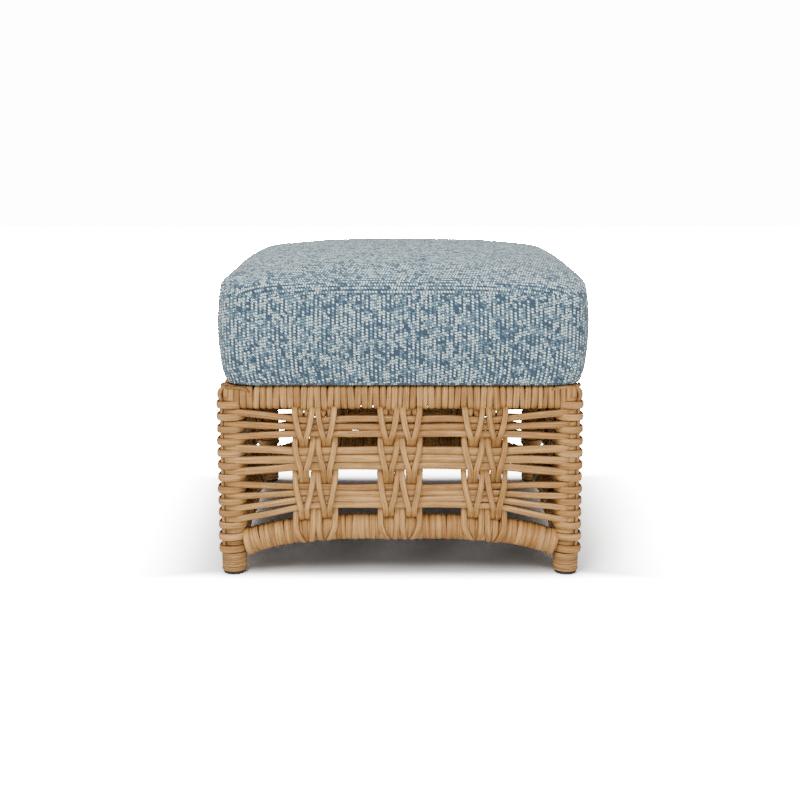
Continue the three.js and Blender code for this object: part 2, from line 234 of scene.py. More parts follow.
def smooth_line(knots: Sequence[Sequence[float]], count: int) -> Line:
    """Runs a smooth line through knots and steps along it evenly.

    Args:
        knots: the places it passes, in metres.
        count: how many places it gives.
    Returns:
        The places, one row each.
    """
    places = np.asarray(knots, dtype=float)
    ends = np.vstack([2 * places[0] - places[1], places, 2 * places[-1] - places[-2]])
    steps = np.linspace(0, 1, 12, endpoint=False)[:, None]
    runs = []
    for a, b, c, d in zip(ends, ends[1:], ends[2:], ends[3:]):
        curve = 2 * b + (c - a) * steps
        curve = curve + (2 * a - 5 * b + 4 * c - d) * steps ** 2
        curve = curve + (3 * b - a - 3 * c + d) * steps ** 3
        runs.append(curve / 2)
    dense = np.vstack([*runs, places[-1:]])
    length = run_along(dense)
    even = np.linspace(0, length[-1], count)
    return np.stack([np.interp(even, length, dense[:, axis]) for axis in range(3)], axis=1)


@dataclass
class StrandMaker:
    """Makes resin strands: a straight one is modelled once and each copy is laid along a line."""

    seed: int = 7
    sides: int = 12
    flatness: float = 0.72
    width_play: float = 0.035
    play_waves: float = 55
    taper_bend: int = 6
    grain_shift: float = 9
    blanks: dict[int, Piece] = field(default_factory=dict)
    chance: random.Random = field(init=False)

    def __post_init__(self) -> None:
        """Starts the row of random draws."""
        self.chance = random.Random(self.seed)

    def straight(self, rings: int) -> Piece:
        """Models a straight strand of unit width, one ring a metre, by extruding its section.

        Args:
            rings: how many rings of points it has.
        Returns:
            The strand, kept for copies.
        """
        if rings in self.blanks:
            return self.blanks[rings]
        deselect_all()
        bpy.ops.mesh.primitive_circle_add(vertices=self.sides, radius=0.5, fill_type="NGON")
        blank = bpy.context.object
        with editing():
            for _ in range(rings - 1):
                bpy.ops.mesh.extrude_region_move(TRANSFORM_OT_translate={"value": UPRIGHT})
            bpy.ops.mesh.select_all(action="SELECT")
            bpy.ops.mesh.normals_make_consistent(inside=False)
        self.mark(blank)
        blank.hide_render = True
        self.blanks[rings] = blank
        return blank

    def mark(self, blank: Piece) -> None:
        """Writes each corner's ring and its share round the section, and rounds the section.

        Args:
            blank: the straight strand.
        """
        mesh = blank.data
        chart = mesh.uv_layers.new(name=GRAIN_MAP)
        for face in mesh.polygons:
            shares = []
            for index in face.vertices:
                place = mesh.vertices[index].co
                shares.append(math.atan2(place.y, place.x) / FULL_TURN % 1)
            wraps = max(shares) - min(shares) > 0.5 and len(shares) == 4
            for loop, index, share in zip(face.loop_indices, face.vertices, shares):
                around = share + 1 if wraps and share < 0.5 else share
                chart.data[loop].uv = (mesh.vertices[index].co.z, around)
        places = points_of(blank)
        section = places[:, :2]
        # How far across the section each point lies; the grain uses it to paint shade at the strand's sides.
        edge = np.abs(section[:, 0]) * 2
        section[:] = np.sign(section) * np.abs(section * 2) ** self.flatness / 2
        set_points(blank, places)
        mesh.attributes.new(TONE, "FLOAT", "POINT")
        mesh.attributes.new(EDGE, "FLOAT", "POINT").data.foreach_set("value", edge)

    def lay(self, line: Line, wide: Sequence[float], width: float, thickness: float,
            taper: float = 0.0) -> Piece:
        """Lays a strand along a line.

        Args:
            line: the places of its middle, one a ring.
            wide: the direction its width takes.
            width: its width in metres.
            thickness: its thickness in metres.
            taper: how much of the width the two ends lose.
        Returns:
            The laid strand.
        """
        rings = len(line)
        strand = copy_of(self.straight(rings))
        strand.hide_render = False
        along = unit(np.gradient(line, axis=0))
        across = np.broadcast_to(np.asarray(wide, dtype=float), line.shape)
        across = unit(across - along * np.sum(across * along, axis=1)[:, None])
        through = np.cross(along, across)
        run = run_along(line)
        phase = self.chance.random() * FULL_TURN
        swell = 1 + self.width_play * np.sin(run * self.play_waves + phase)
        if taper:
            swell = swell * (1 - taper * np.abs(np.linspace(-1, 1, rings)) ** self.taper_bend)
        places = points_of(strand)
        ring = np.rint(places[:, 2]).astype(int)
        offset = across[ring] * (places[:, 0] * width * swell[ring])[:, None]
        offset += through[ring] * (places[:, 1] * thickness * swell[ring])[:, None]
        set_points(strand, line[ring] + offset)
        self.chart(strand, run, width + thickness)
        return strand

    def chart(self, strand: Piece, run: np.ndarray, girth: float) -> None:
        """Gives a laid strand its grain chart in metres, and a tone of its own.

        Args:
            strand: the laid strand.
            run: the length along it at each ring.
            girth: half the way round it.
        """
        layer = strand.data.uv_layers[GRAIN_MAP].data
        chart = read(layer, "uv", 2)
        shift = self.chance.random() * self.grain_shift
        chart[:, 0] = run[np.rint(chart[:, 0]).astype(int)] + shift
        chart[:, 1] = chart[:, 1] * girth * 2 + shift / 3
        layer.foreach_set("uv", chart.ravel())
        tone = np.full(len(strand.data.vertices), self.chance.random())
        strand.data.attributes[TONE].data.foreach_set("value", tone)

    def play(self, reach: float) -> float:
        """Draws a small difference, either way from zero."""
        return self.chance.uniform(-reach, reach)

    def clear(self) -> None:
        """Takes the straight strands away once all are laid."""
        for blank in self.blanks.values():
            bpy.data.objects.remove(blank, do_unlink=True)
        self.blanks.clear()


class NodeDesk:
    """A short way to place and join the nodes of one tree."""

    def __init__(self, tree: Tree) -> None:
        """Keeps the tree and its nodes."""
        self.tree = tree
        self.nodes = tree.nodes

    def add(self, kind: str, **settings: object) -> bpy.types.Node:
        """Places a node and sets its properties."""
        node = self.nodes.new(kind)
        for name, value in settings.items():
            setattr(node, name, value)
        return node

    def feed(self, socket: Socket, value: object) -> None:
        """Joins a socket to another one, or gives it a plain value."""
        if isinstance(value, Socket):
            self.tree.links.new(value, socket)
        else:
            socket.default_value = value

    def math(self, operation: str, *values: object) -> Socket:
        """Works out one sum and gives its result."""
        node = self.add("ShaderNodeMath", operation=operation)
        for socket, value in zip(node.inputs, values):
            self.feed(socket, value)
        return node.outputs[0]

    def times(self, *values: object) -> Socket:
        """Multiplies two values."""
        return self.math("MULTIPLY", *values)

    def plus(self, *values: object) -> Socket:
        """Adds two values."""
        return self.math("ADD", *values)

    def minus(self, *values: object) -> Socket:
        """Takes the second value from the first."""
        return self.math("SUBTRACT", *values)

    def centred(self, value: object, weight: object) -> Socket:
        """Brings a value between 0 and 1 to one round zero, and weighs it."""
        return self.times(self.minus(value, 0.5), weight)

    def blend(self, share: object, first: object, second: object) -> Socket:
        """Blends two colours and gives the result."""
        node = self.add("ShaderNodeMix", data_type="RGBA")
        self.feed(node.inputs[0], share)
        self.feed(node.inputs[6], first)
        self.feed(node.inputs[7], second)
        return node.outputs[2]

    def spread(self, value: object, low: float, high: float) -> Socket:
        """Brings a value between 0 and 1 to the given range."""
        node = self.add("ShaderNodeMapRange")
        self.feed(node.inputs["Value"], value)
        self.feed(node.inputs["To Min"], low)
        self.feed(node.inputs["To Max"], high)
        return node.outputs[0]

    def step(self, value: object, start: float, end: float) -> Socket:
        """Rises smoothly from 0 at start to 1 at end."""
        node = self.add("ShaderNodeMapRange", interpolation_type="SMOOTHSTEP")
        self.feed(node.inputs["Value"], value)
        self.feed(node.inputs["From Min"], start)
        self.feed(node.inputs["From Max"], end)
        return node.outputs[0]

    def scaled(self, vector: object, scale: Place) -> Socket:
        """Scales a pattern's coordinates."""
        node = self.add("ShaderNodeMapping")
        self.feed(node.inputs["Vector"], vector)
        self.feed(node.inputs["Scale"], scale)
        return node.outputs[0]

    def noise(self, vector: object, scale: object, detail: float) -> Socket:
        """Gives a soft noise from 0 to 1."""
        node = self.add("ShaderNodeTexNoise")
        self.feed(node.inputs["Vector"], vector)
        self.feed(node.inputs["Scale"], scale)
        self.feed(node.inputs["Detail"], detail)
        return node.outputs["Fac"]

    def grain(self, place: object, scale: Place, detail: float) -> Socket:
        """Gives a soft noise with a scale of its own along each axis."""
        return self.noise(self.scaled(place, scale), 1.0, detail)

    def split(self, vector: object) -> bpy.types.bpy_prop_collection:
        """Takes a place apart into its three numbers."""
        node = self.add("ShaderNodeSeparateXYZ")
        self.feed(node.inputs[0], vector)
        return node.outputs

    def chart(self, name: str) -> Socket:
        """Gives the places of one of the piece's own charts."""
        return self.add("ShaderNodeUVMap", uv_map=name).outputs[0]

    def mark(self, name: str) -> Socket:
        """Gives a number that the piece's points carry."""
        return self.add("ShaderNodeAttribute", attribute_name=name).outputs["Fac"]

    def give(self, out: bpy.types.Node, colour: Socket, rough: Socket, height: Socket) -> Tree:
        """Joins a group's three results to its output and gives the group."""
        for label, socket in (("Color", colour), ("Roughness", rough), ("Height", height)):
            self.feed(out.inputs[label], socket)
        return self.tree


def effect_group(name: str, inputs: dict[str, object]) -> tuple[NodeDesk, dict[str, Socket], bpy.types.Node]:
    """Starts a node group that gives a colour, a roughness and a height.

    Args:
        name: the group's name.
        inputs: each input's name and value, a colour or a number.
    Returns:
        The desk to build it on, its input sockets by name, and its output node.
    """
    tree = bpy.data.node_groups.new(name, "ShaderNodeTree")
    for label, value in inputs.items():
        kind = "NodeSocketColor" if isinstance(value, tuple) else "NodeSocketFloat"
        tree.interface.new_socket(name=label, in_out="INPUT", socket_type=kind).default_value = value
    tree.interface.new_socket(name="Color", in_out="OUTPUT", socket_type="NodeSocketColor")
    for label in ("Roughness", "Height"):
        tree.interface.new_socket(name=label, in_out="OUTPUT", socket_type="NodeSocketFloat")
    desk = NodeDesk(tree)
    entry = desk.add("NodeGroupInput")
    return desk, {socket.name: socket for socket in entry.outputs if socket.name}, desk.add("NodeGroupOutput")


@dataclass(frozen=True)
class StrandGrain:
    """The look of a resin strand: lengthwise streaks, broad patches, and painted shade that darkens its sides where
    it meets its neighbours.
    """

    fine: Place = (55.0, 1500.0, 1.0)
    long: Place = (14.0, 420.0, 1.0)
    patches: Place = (38.0, 60.0, 1.0)
    flecks: Place = (240.0, 2200.0, 1.0)
    fine_share: float = 0.35
    streak_edge: Span = (0.38, 0.62)
    tone_shares: Span = (0.5, 0.6)
    tone_edge: Span = (0.15, 0.95)
    streak_dark: float = 0.52
    fleck_edge: Span = (0.6, 0.78)
    fleck_dark: float = 0.4
    crease_shade_edge: Span = (0.7, 1.0)
    crease_dark: float = 0.85
    roughness_play: float = 0.22

    def group(self) -> Tree:
        """Builds the effect as a node group."""
        # The dark colour serves both the grain's streaks and flecks and the painted shade at the strand's sides.
        desk, given, out = effect_group("strand_grain", {
            "Light": rgb(214, 164, 98), "Middle": rgb(176, 124, 62), "Dark": rgb(76, 40, 14),
            "Streaks": 1.0, "Roughness": 0.5})
        place = desk.chart(GRAIN_MAP)
        fine = desk.times(desk.grain(place, self.fine, 4.0), self.fine_share)
        long = desk.times(desk.grain(place, self.long, 3.0), 1 - self.fine_share)
        streak = desk.step(desk.plus(fine, long), *self.streak_edge)
        own, broad = self.tone_shares
        patch = desk.times(desk.grain(place, self.patches, 2.0), broad)
        tone = desk.plus(desk.times(desk.mark(TONE), own), patch)
        colour = desk.blend(desk.step(tone, *self.tone_edge), given["Middle"], given["Light"])
        fleck = desk.step(desk.grain(place, self.flecks, 1.0), *self.fleck_edge)
        # Painted shade: the strand's sides, where strands press together, are blended towards the dark colour in
        # place of the shade in the creases.
        crease_shade = desk.step(desk.mark(EDGE), *self.crease_shade_edge)
        for mask, share in (
                (desk.minus(1.0, streak), self.streak_dark), (fleck, self.fleck_dark), (crease_shade, self.crease_dark)):
            colour = desk.blend(desk.times(mask, share), colour, given["Dark"])
        rough = desk.plus(given["Roughness"], desk.times(desk.minus(0.5, streak), self.roughness_play))
        return desk.give(out, colour, rough, desk.times(streak, given["Streaks"]))


@dataclass(frozen=True)
class RibbedTweed:
    """The look of the cover's cloth: columns of slanted stitches in three yarns.

    Each column has a chain of large stitches and, beside it, small ones between them. A stitch takes its yarn by
    its own draw and by the thread that it lies on.
    """

    slant: float = 0.5
    column_shift: float = 0.67
    thread: Place = (3.7, 0.27, 1.0)
    mood: Place = (45.0, 14.0, 1.0)
    fibre: Place = (2600.0, 1500.0, 1.0)
    mood_share: float = 0.15
    draw_share: float = 0.8
    chain_yarns: tuple[Span, Span] = ((0.42, 0.54), (0.68, 0.8))
    dot_yarns: tuple[Span, Span] = ((0.02, 0.14), (0.24, 0.36))
    chain_oval: tuple[Span, Span] = ((0.3, 0.31), (0.5, 0.4))
    dot_oval: tuple[Span, Span] = ((0.8, 0.25), (0.5, 0.42))
    oval_edge: Span = (0.35, 1.15)
    ground_blue: float = 0.08
    fibre_light: float = 0.1
    dot_height: float = 0.7
    fibre_height: float = 0.3
    roughness: Span = (0.82, 0.98)

    def oval(self, desk: NodeDesk, cell: tuple[Socket, Socket], shape: tuple[Span, Span]) -> Socket:
        """Gives 1 inside an oval stitch and 0 outside it.

        Args:
            desk: where the nodes are placed.
            cell: places in the stitch's cell, across and along, from 0 to 1.
            shape: the oval's middle and half size, across and along.
        Returns:
            The mask.
        """
        parts = []
        for value, (middle, half) in zip(cell, shape):
            share = desk.math("DIVIDE", desk.minus(value, middle), half)
            parts.append(desk.times(share, share))
        return desk.minus(1.0, desk.step(desk.plus(*parts), *self.oval_edge))

    def yarn(self, desk: NodeDesk, given: dict[str, Socket], choice: Socket, turns: tuple[Span, Span]) -> Socket:
        """Picks a stitch's yarn by a number that is the same all over the stitch.

        Args:
            desk: where the nodes are placed.
            given: the group's inputs, the yarns' colours among them.
            choice: the number, low for cream and high for navy.
            turns: where cream turns into blue, and blue into navy.
        Returns:
            The yarn's colour.
        """
        colour = desk.blend(desk.step(choice, *turns[0]), given["Cream"], given["Blue"])
        return desk.blend(desk.step(choice, *turns[1]), colour, given["Navy"])

    def group(self) -> Tree:
        """Builds the effect as a node group."""
        desk, given, out = effect_group("ribbed_tweed", {
            "Cream": rgb(222, 242, 236), "Blue": rgb(106, 140, 154), "Navy": rgb(14, 42, 72),
            "Rib": 0.0064, "Stitch": 0.0044, "Slub": 1.0})
        place = desk.chart(CLOTH_MAP)
        beside, upward = desk.split(place)[:2]
        rib = desk.math("DIVIDE", beside, given["Rib"])
        column = desk.math("FLOOR", rib)
        across = desk.minus(rib, column)
        run = desk.plus(desk.math("DIVIDE", upward, given["Stitch"]), desk.times(across, self.slant))
        run = desk.plus(run, desk.times(column, self.column_shift))
        row = desk.math("FLOOR", run)
        along = desk.minus(run, row)
        cell = desk.add("ShaderNodeCombineXYZ")
        desk.feed(cell.inputs[0], column)
        desk.feed(cell.inputs[1], row)
        draw = desk.add("ShaderNodeTexWhiteNoise", noise_dimensions="2D")
        desk.feed(draw.inputs["Vector"], cell.outputs[0])
        draws = desk.add("ShaderNodeSeparateColor")
        desk.feed(draws.inputs[0], draw.outputs["Color"])
        slub = desk.grain(cell.outputs[0], self.thread, 1.0)
        mood = desk.grain(place, self.mood, 2.0)
        lean = desk.plus(desk.centred(slub, given["Slub"]), desk.centred(mood, self.mood_share))
        chain, dots = (
            self.yarn(desk, given, desk.plus(desk.times(draws.outputs[index], self.draw_share), lean), turns)
            for index, turns in enumerate((self.chain_yarns, self.dot_yarns)))
        chain_mask = self.oval(desk, (across, along), self.chain_oval)
        half_on = desk.math("FRACT", desk.plus(along, 0.5))
        dots_mask = self.oval(desk, (across, half_on), self.dot_oval)
        stitch = desk.math("MAXIMUM", chain_mask, desk.times(dots_mask, self.dot_height))
        fibre = desk.grain(place, self.fibre, 2.0)
        colour = desk.blend(dots_mask, desk.blend(self.ground_blue, given["Navy"], given["Blue"]), dots)
        colour = desk.blend(chain_mask, colour, chain)
        colour = desk.blend(desk.times(fibre, self.fibre_light), colour, given["Cream"])
        height = desk.plus(stitch, desk.times(fibre, self.fibre_height))
        return desk.give(out, colour, desk.spread(fibre, *self.roughness), height)


@dataclass(frozen=True)
class CoatAndDust:
    """The look of a sprayed or moulded surface: fine grain, scuffs and settled dust."""

    scuff_scale: float = 60.0
    scuff_stretch: Place = (1.0, 1.0, 3.0)
    scuff_edge: Span = (0.56, 0.72)
    scuff_depth: float = 0.4
    dust_scale: float = 22.0
    dust_edge: Span = (0.5, 0.75)
    dust_share: float = 0.25
    roughness_play: float = 0.12

    def group(self) -> Tree:
        """Builds the effect as a node group."""
        desk, given, out = effect_group("coat_and_dust", {
            "Coat": rgb(90, 70, 50), "Scuff": rgb(140, 120, 95), "Dust": rgb(150, 145, 135),
            "Grain": 900.0, "Wear": 0.5, "Roughness": 0.5})
        place = desk.add("ShaderNodeTexCoord").outputs["Object"]
        grain = desk.noise(place, given["Grain"], 2.0)
        scuff = desk.noise(desk.scaled(place, self.scuff_stretch), self.scuff_scale, 6.0)
        scuff = desk.step(scuff, *self.scuff_edge)
        dust = desk.step(desk.noise(place, self.dust_scale, 5.0), *self.dust_edge)
        colour = desk.blend(desk.times(scuff, given["Wear"]), given["Coat"], given["Scuff"])
        colour = desk.blend(desk.times(dust, self.dust_share), colour, given["Dust"])
        rough = desk.plus(given["Roughness"], desk.times(desk.plus(grain, dust), self.roughness_play))
        return desk.give(out, colour, rough, desk.minus(grain, desk.times(scuff, self.scuff_depth)))


@dataclass(frozen=True)
class Finish:
    """A finish: an effect with its values, and the shader's own constants."""

    name: str
    values: dict[str, object]
    relief: float
    metallic: float = 0.0
    sheen: float = 0.0
    coat: float = 0.0
    specular: float = 0.5

    def made(self, effect: Tree) -> Material:
        """Builds the material.

        Args:
            effect: the node group that gives colour, roughness and height.
        Returns:
            The material.
        """
        material = bpy.data.materials.new(self.name)
        material.use_nodes = True
        desk = NodeDesk(material.node_tree)
        shader = desk.nodes["Principled BSDF"]
        group = desk.add("ShaderNodeGroup", node_tree=effect)
        for label, value in self.values.items():
            desk.feed(group.inputs[label], value)
        bump = desk.add("ShaderNodeBump")
        desk.feed(bump.inputs["Distance"], self.relief)
        desk.feed(bump.inputs["Strength"], 1.0)
        desk.feed(bump.inputs["Height"], group.outputs["Height"])
        for label, value in (
                ("Base Color", group.outputs["Color"]), ("Roughness", group.outputs["Roughness"]),
                ("Normal", bump.outputs["Normal"]), ("Metallic", self.metallic), ("Sheen Weight", self.sheen),
                ("Coat Weight", self.coat), ("Specular IOR Level", self.specular)):
            desk.feed(shader.inputs[label], value)
        return material


WICKER = Finish("tan_wicker", {"Roughness": 0.5}, 0.0004, specular=0.4)
FINE_WICKER = Finish("tan_wicker_fine", {
    "Light": rgb(202, 152, 90), "Middle": rgb(166, 118, 62), "Streaks": 0.8, "Roughness": 0.55}, 0.0003)
TWEED = Finish("blue_tweed", {}, 0.0007, sheen=0.25, specular=0.15)
ZIP_TAPE = Finish("zip_tape", {
    "Cream": rgb(98, 124, 148), "Blue": rgb(80, 106, 134), "Navy": rgb(64, 88, 120),
    "Rib": 0.0011, "Stitch": 0.0009, "Slub": 0.3}, 0.0002, sheen=0.1, specular=0.2)
FOAM = Finish("white_foam", {
    "Coat": rgb(236, 232, 220), "Scuff": rgb(220, 214, 198), "Dust": rgb(228, 222, 208),
    "Grain": 1400.0, "Wear": 0.4, "Roughness": 0.85}, 0.0006, specular=0.1)
TUBE_COAT = Finish("brown_tube_coat", {
    "Coat": rgb(112, 84, 56), "Scuff": rgb(140, 110, 78), "Wear": 0.35, "Roughness": 0.42}, 0.00006, metallic=0.3)
DECK_COAT = Finish("dark_deck_coat", {
    "Coat": rgb(66, 54, 44), "Scuff": rgb(104, 90, 76), "Wear": 0.5, "Roughness": 0.46}, 0.00006, metallic=0.3)
GLIDE_PLASTIC = Finish("black_glide_plastic", {
    "Coat": rgb(24, 26, 28), "Scuff": rgb(70, 70, 70), "Dust": rgb(88, 84, 78),
    "Grain": 1600.0, "Wear": 0.35, "Roughness": 0.45}, 0.00005)
ZIP_NYLON = Finish("zip_nylon", {
    "Coat": rgb(84, 108, 132), "Scuff": rgb(120, 142, 160), "Wear": 0.4, "Roughness": 0.38}, 0.00003, coat=0.2)
ZIP_METAL = Finish("zip_metal", {
    "Coat": rgb(112, 118, 124), "Scuff": rgb(176, 178, 180), "Dust": rgb(120, 118, 112),
    "Grain": 2400.0, "Wear": 0.6, "Roughness": 0.3}, 0.00002, metallic=0.9)


@dataclass
class Paintbox:
    """Every finish's material, made once."""

    wicker: Material
    fine_wicker: Material
    tweed: Material
    zip_tape: Material
    foam: Material
    tube: Material
    deck: Material
    glide: Material
    zip_nylon: Material
    zip_metal: Material

    @classmethod
    def filled(cls) -> "Paintbox":
        """Builds the shared effects and the materials that use them."""
        grain, tweed, coat = StrandGrain().group(), RibbedTweed().group(), CoatAndDust().group()
        return cls(
            WICKER.made(grain), FINE_WICKER.made(grain), TWEED.made(tweed), ZIP_TAPE.made(tweed),
            FOAM.made(coat), TUBE_COAT.made(coat), DECK_COAT.made(coat), GLIDE_PLASTIC.made(coat),
            ZIP_NYLON.made(coat), ZIP_METAL.made(coat))


def dress(piece: Piece, material: Material) -> None:
    """Gives a piece one material all over."""
    piece.data.materials.clear()
    piece.data.materials.append(material)


def place_piece(piece: Piece, body: str, slot: str, material: Material,
                *nodes: str) -> None:
    """Dresses a new piece, ties it to its body and hides the solids it stands for.

    Args:
        piece: the piece.
        body: the body it rides on.
        slot: not used.
        material: its finish.
        nodes: the solids it stands for.
    """
    dress(piece, material)
    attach(piece, body)
    if nodes:
        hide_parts(*nodes)
    log.info("%s: %d faces, rides on %s", piece.name, len(piece.data.polygons), body)


def dress_solid(node: str, material: Material) -> None:
    """Gives a solid that stays in view its finish."""
    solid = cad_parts[node]
    for entry in solid.material_slots:
        entry.link = "OBJECT"
        entry.material = material
    log.info("%s: carried over", node)


@dataclass
class FrameSizes:
    """Sizes and places that the wicker pieces share, in metres."""

    leg_line: float = 0.255
    frame_height: float = 0.294
    tube_radius: float = 0.0125
    strand_width: float = 0.0101
    strand_thickness: float = 0.006
    loop_pitch: float = 0.01865
    first_loop: float = 0.2551
    rail_height: float = 0.2765
    rail_half: float = 0.0175
    arch_crown: float = 0.0755
    arch_rise: float = 0.028
    arch_bend: float = 3.6
    arch_sag: float = 0.0026
    group_places: tuple[float, ...] = (-0.128, 0.0, 0.128)
    tier_heights: tuple[float, ...] = (0.232, 0.183, 0.125)
    tier_counts: tuple[int, ...] = (3, 3, 4)
    tier_pitches: tuple[float, ...] = (0.0104, 0.0114, 0.0099)

    @property
    def strand_line(self) -> float:
        """How far a strand round the leg lies from the leg's middle."""
        return self.tube_radius + self.strand_thickness / 2

    def arch_height(self, x: float) -> float:
        """Gives the height of the lower rail's middle at a distance from the panel's middle."""
        share = abs(x) / (self.leg_line - self.tube_radius)
        return self.arch_crown - self.arch_rise * share ** self.arch_bend

    def wound_height(self, x: float) -> float:
        """Gives the height of the middle of the lower rail's winding, which hangs a little."""
        return self.arch_height(x) - self.arch_sag

    def out_front(self, line: Line) -> Line:
        """Moves a line from the legs' own middle out to the front panel."""
        return line - np.array([0, self.leg_line, 0])


@dataclass
class LegWinding:
    """The strands wound round a leg, every other one over an upright stake at the corner."""

    sizes: FrameSizes
    strands: StrandMaker
    over_radii: tuple[float, ...] = (0.0229, 0.0181, 0.0174, 0.0174, 0.0158, 0.0174, 0.0174, 0.0181)
    over_width: float = 0.0118
    over_thickness: float = 0.0068
    over_rise: float = 0.0012
    over_play: Place = (0.0004, 0.0005, 0.0012)
    inner_width: float = 0.0094
    inner_thickness: float = 0.0052
    inner_play: float = 0.0006
    stake_line: float = 0.0184
    stake_foot: float = 0.034
    stake_top: float = 0.274
    stake_width: float = 0.0072
    stake_thickness: float = 0.0055
    soften: tuple[float, ...] = (0.1, 0.2, 0.4, 0.2, 0.1)
    rings: int = 40
    stake_rings: int = 48
    lowest: float = 0.0345
    least_room: float = 0.004

    def ring_line(self, radii: Sequence[float], height: float, tilt: float) -> Line:
        """Runs once round the leg, starting on the side that faces the other legs.

        Args:
            radii: distances from the leg's middle at even steps from the outer corner.
            height: the height of the turn.
            tilt: how far the two ends lie apart in height.
        Returns:
            The line of the turn, round the leg's own middle.
        """
        steps = len(radii)
        turns = np.linspace(-0.5, 0.5, self.rings)
        places = np.interp((turns * steps) % steps, range(steps + 1), [*radii, radii[0]])
        smooth = np.convolve(np.pad(places, len(self.soften) // 2, mode="edge"), self.soften, "valid")
        angle = math.radians(CORNER_DEGREES) + turns * FULL_TURN
        return np.stack([smooth * np.cos(angle), smooth * np.sin(angle), height + tilt * turns], axis=1)

    def build(self) -> Piece:
        """Winds one leg, round the upright line at zero."""
        sizes, strands = self.sizes, self.strands
        parts = []
        count = int((sizes.first_loop - self.lowest) / sizes.loop_pitch) + 1
        inner = [sizes.strand_line - self.inner_play] * len(self.over_radii)
        for turn in range(-1, count):
            height = sizes.first_loop - turn * sizes.loop_pitch
            line = self.ring_line(inner, height, strands.play(self.inner_play))
            parts.append(strands.lay(line, UPRIGHT, self.inner_width, self.inner_thickness))
        out, up, tilt = self.over_play
        for turn in range(-1, count):
            height = sizes.first_loop - (turn + 0.5) * sizes.loop_pitch + self.over_rise
            if height < self.lowest + self.least_room:
                continue
            grown = [radius + strands.play(out) for radius in self.over_radii]
            line = self.ring_line(grown, height + strands.play(up), strands.play(tilt))
            parts.append(strands.lay(line, UPRIGHT, self.over_width, self.over_thickness))
        parts.append(self.corner_stake())
        return joined(parts, "leg_winding")

    def corner_stake(self) -> Piece:
        """Lays the upright stake at the outer corner."""
        reach = self.stake_line * math.cos(math.pi / 4)
        knots = [(-reach, -reach, height) for height in np.linspace(self.stake_foot, self.stake_top, 12)]
        line = smooth_line(knots, self.stake_rings)
        return self.strands.lay(line, ACROSS_CORNER, self.stake_width, self.stake_thickness)


@dataclass
class CornerCap:
    """The top of a leg: upright bands that close the rails' winding over the corner."""

    sizes: FrameSizes
    strands: StrandMaker
    bands: tuple[tuple[float, float], ...] = ((0.0103, 0.0315), (0.0018, 0.023), (-0.0062, 0.0155))
    band_width: float = 0.0086
    band_thickness: float = 0.005
    band_bend: float = 0.004
    shoulder: Span = (0.0015, 0.005)
    lap: float = 0.006
    skin: float = 0.0026
    edge_insets: Span = (0.001, 0.0035)
    edge_drop: float = 0.001
    edge_start: tuple[Place, ...] = ((-0.002, -0.004, -0.0012), (-0.0065, -0.011, -0.0002))
    edge_run: tuple[Place, ...] = (
        (-0.0058, 0.0022, 0.0002), (-0.001, 0.0, 0.0), (0.006, 0.0, 0.0), (0.016, -0.0008, -0.0006),
        (0.023, -0.0012, -0.0022), (0.0272, -0.001, -0.0055), (0.0285, 0.0015, -0.0095))
    edge_wide: Place = (0.0, -0.7, 0.7)
    edge_width: float = 0.0055
    edge_thickness: float = 0.0042
    edge_taper: float = 0.3
    loop_reach: float = 0.0162
    loop_drop: float = 0.0125
    loop_radii: Span = (0.0058, 0.0088)
    loop_width: float = 0.0105
    loop_thickness: float = 0.0048
    rings: int = 28

    def build(self) -> Piece:
        """Lays the bands of both rails, the strand along the top edge and the corner loop."""
        parts = []
        for swap in (False, True):
            for place, drop in self.bands:
                parts.append(self.band(place, drop, swap))
            parts.append(self.edge_strand(swap))
        parts.append(self.corner_loop())
        return joined(parts, "corner_cap")

    def band(self, place: float, drop: float, swap: bool) -> Piece:
        """Lays one upright band over the corner.

        Args:
            place: where it lies along the rail, from the leg's middle.
            drop: how far it comes down from the top.
            swap: whether it belongs to the rail that runs from front to back.
        Returns:
            The band.
        """
        half, top, bend = self.sizes.rail_half - self.skin, self.sizes.frame_height - self.skin, self.band_bend
        low = top - drop
        near, far = self.shoulder
        section = [(0, low), (-half + bend, low), (-half, low + bend), (-half, top - far),
                   (-half + near, top - near), (-half + self.lap, top), (0, top), (self.lap, top)]
        knots = [(place, y, z) for y, z in section]
        return self.laid(knots, SIDEWAYS, swap, self.band_width, self.band_thickness)

    def laid(self, knots: Sequence[Place], wide: Place, swap: bool, width: float, thickness: float,
             taper: float = 0.0) -> Piece:
        """Lays a strand of one rail, or its mirror image on the other rail.

        Args:
            knots: the places it passes on the front rail.
            wide: the direction its width takes there.
            swap: whether it belongs to the rail that runs from front to back.
            width, thickness, taper: as a strand takes them.
        Returns:
            The strand.
        """
        order = [1, 0, 2] if swap else [0, 1, 2]
        line = smooth_line(knots, self.rings)[:, order]
        return self.strands.lay(line, [wide[axis] for axis in order], width, thickness, taper)

    def edge_strand(self, swap: bool) -> Piece:
        """Lays the thin strand on the rail's top edge, which turns down where the rail's bands start.

        Args:
            swap: whether it belongs to the rail that runs from front to back.
        Returns:
            The strand.
        """
        edge, top = -self.sizes.rail_half + self.edge_insets[swap], self.sizes.frame_height - self.edge_drop
        knots = [(x, y, top + z) for x, y, z in self.edge_start]
        knots += [(x, edge + y, top + z) for x, y, z in self.edge_run]
        return self.laid(knots, self.edge_wide, swap, self.edge_width, self.edge_thickness, self.edge_taper)

    def corner_loop(self) -> Piece:
        """Lays the loop that ties the corner, slanting over its top."""
        turns = np.linspace(0, FULL_TURN, self.rings)
        diagonal = np.array([-1.0, -1.0, 0.0]) / math.sqrt(2)
        out, up = self.loop_radii
        middle = diagonal * self.loop_reach + np.array([0, 0, self.sizes.frame_height - self.loop_drop])
        line = middle + np.outer(np.cos(turns), diagonal) * out + np.outer(np.sin(turns), UPRIGHT) * up
        return self.strands.lay(line, ACROSS_CORNER, self.loop_width, self.loop_thickness)


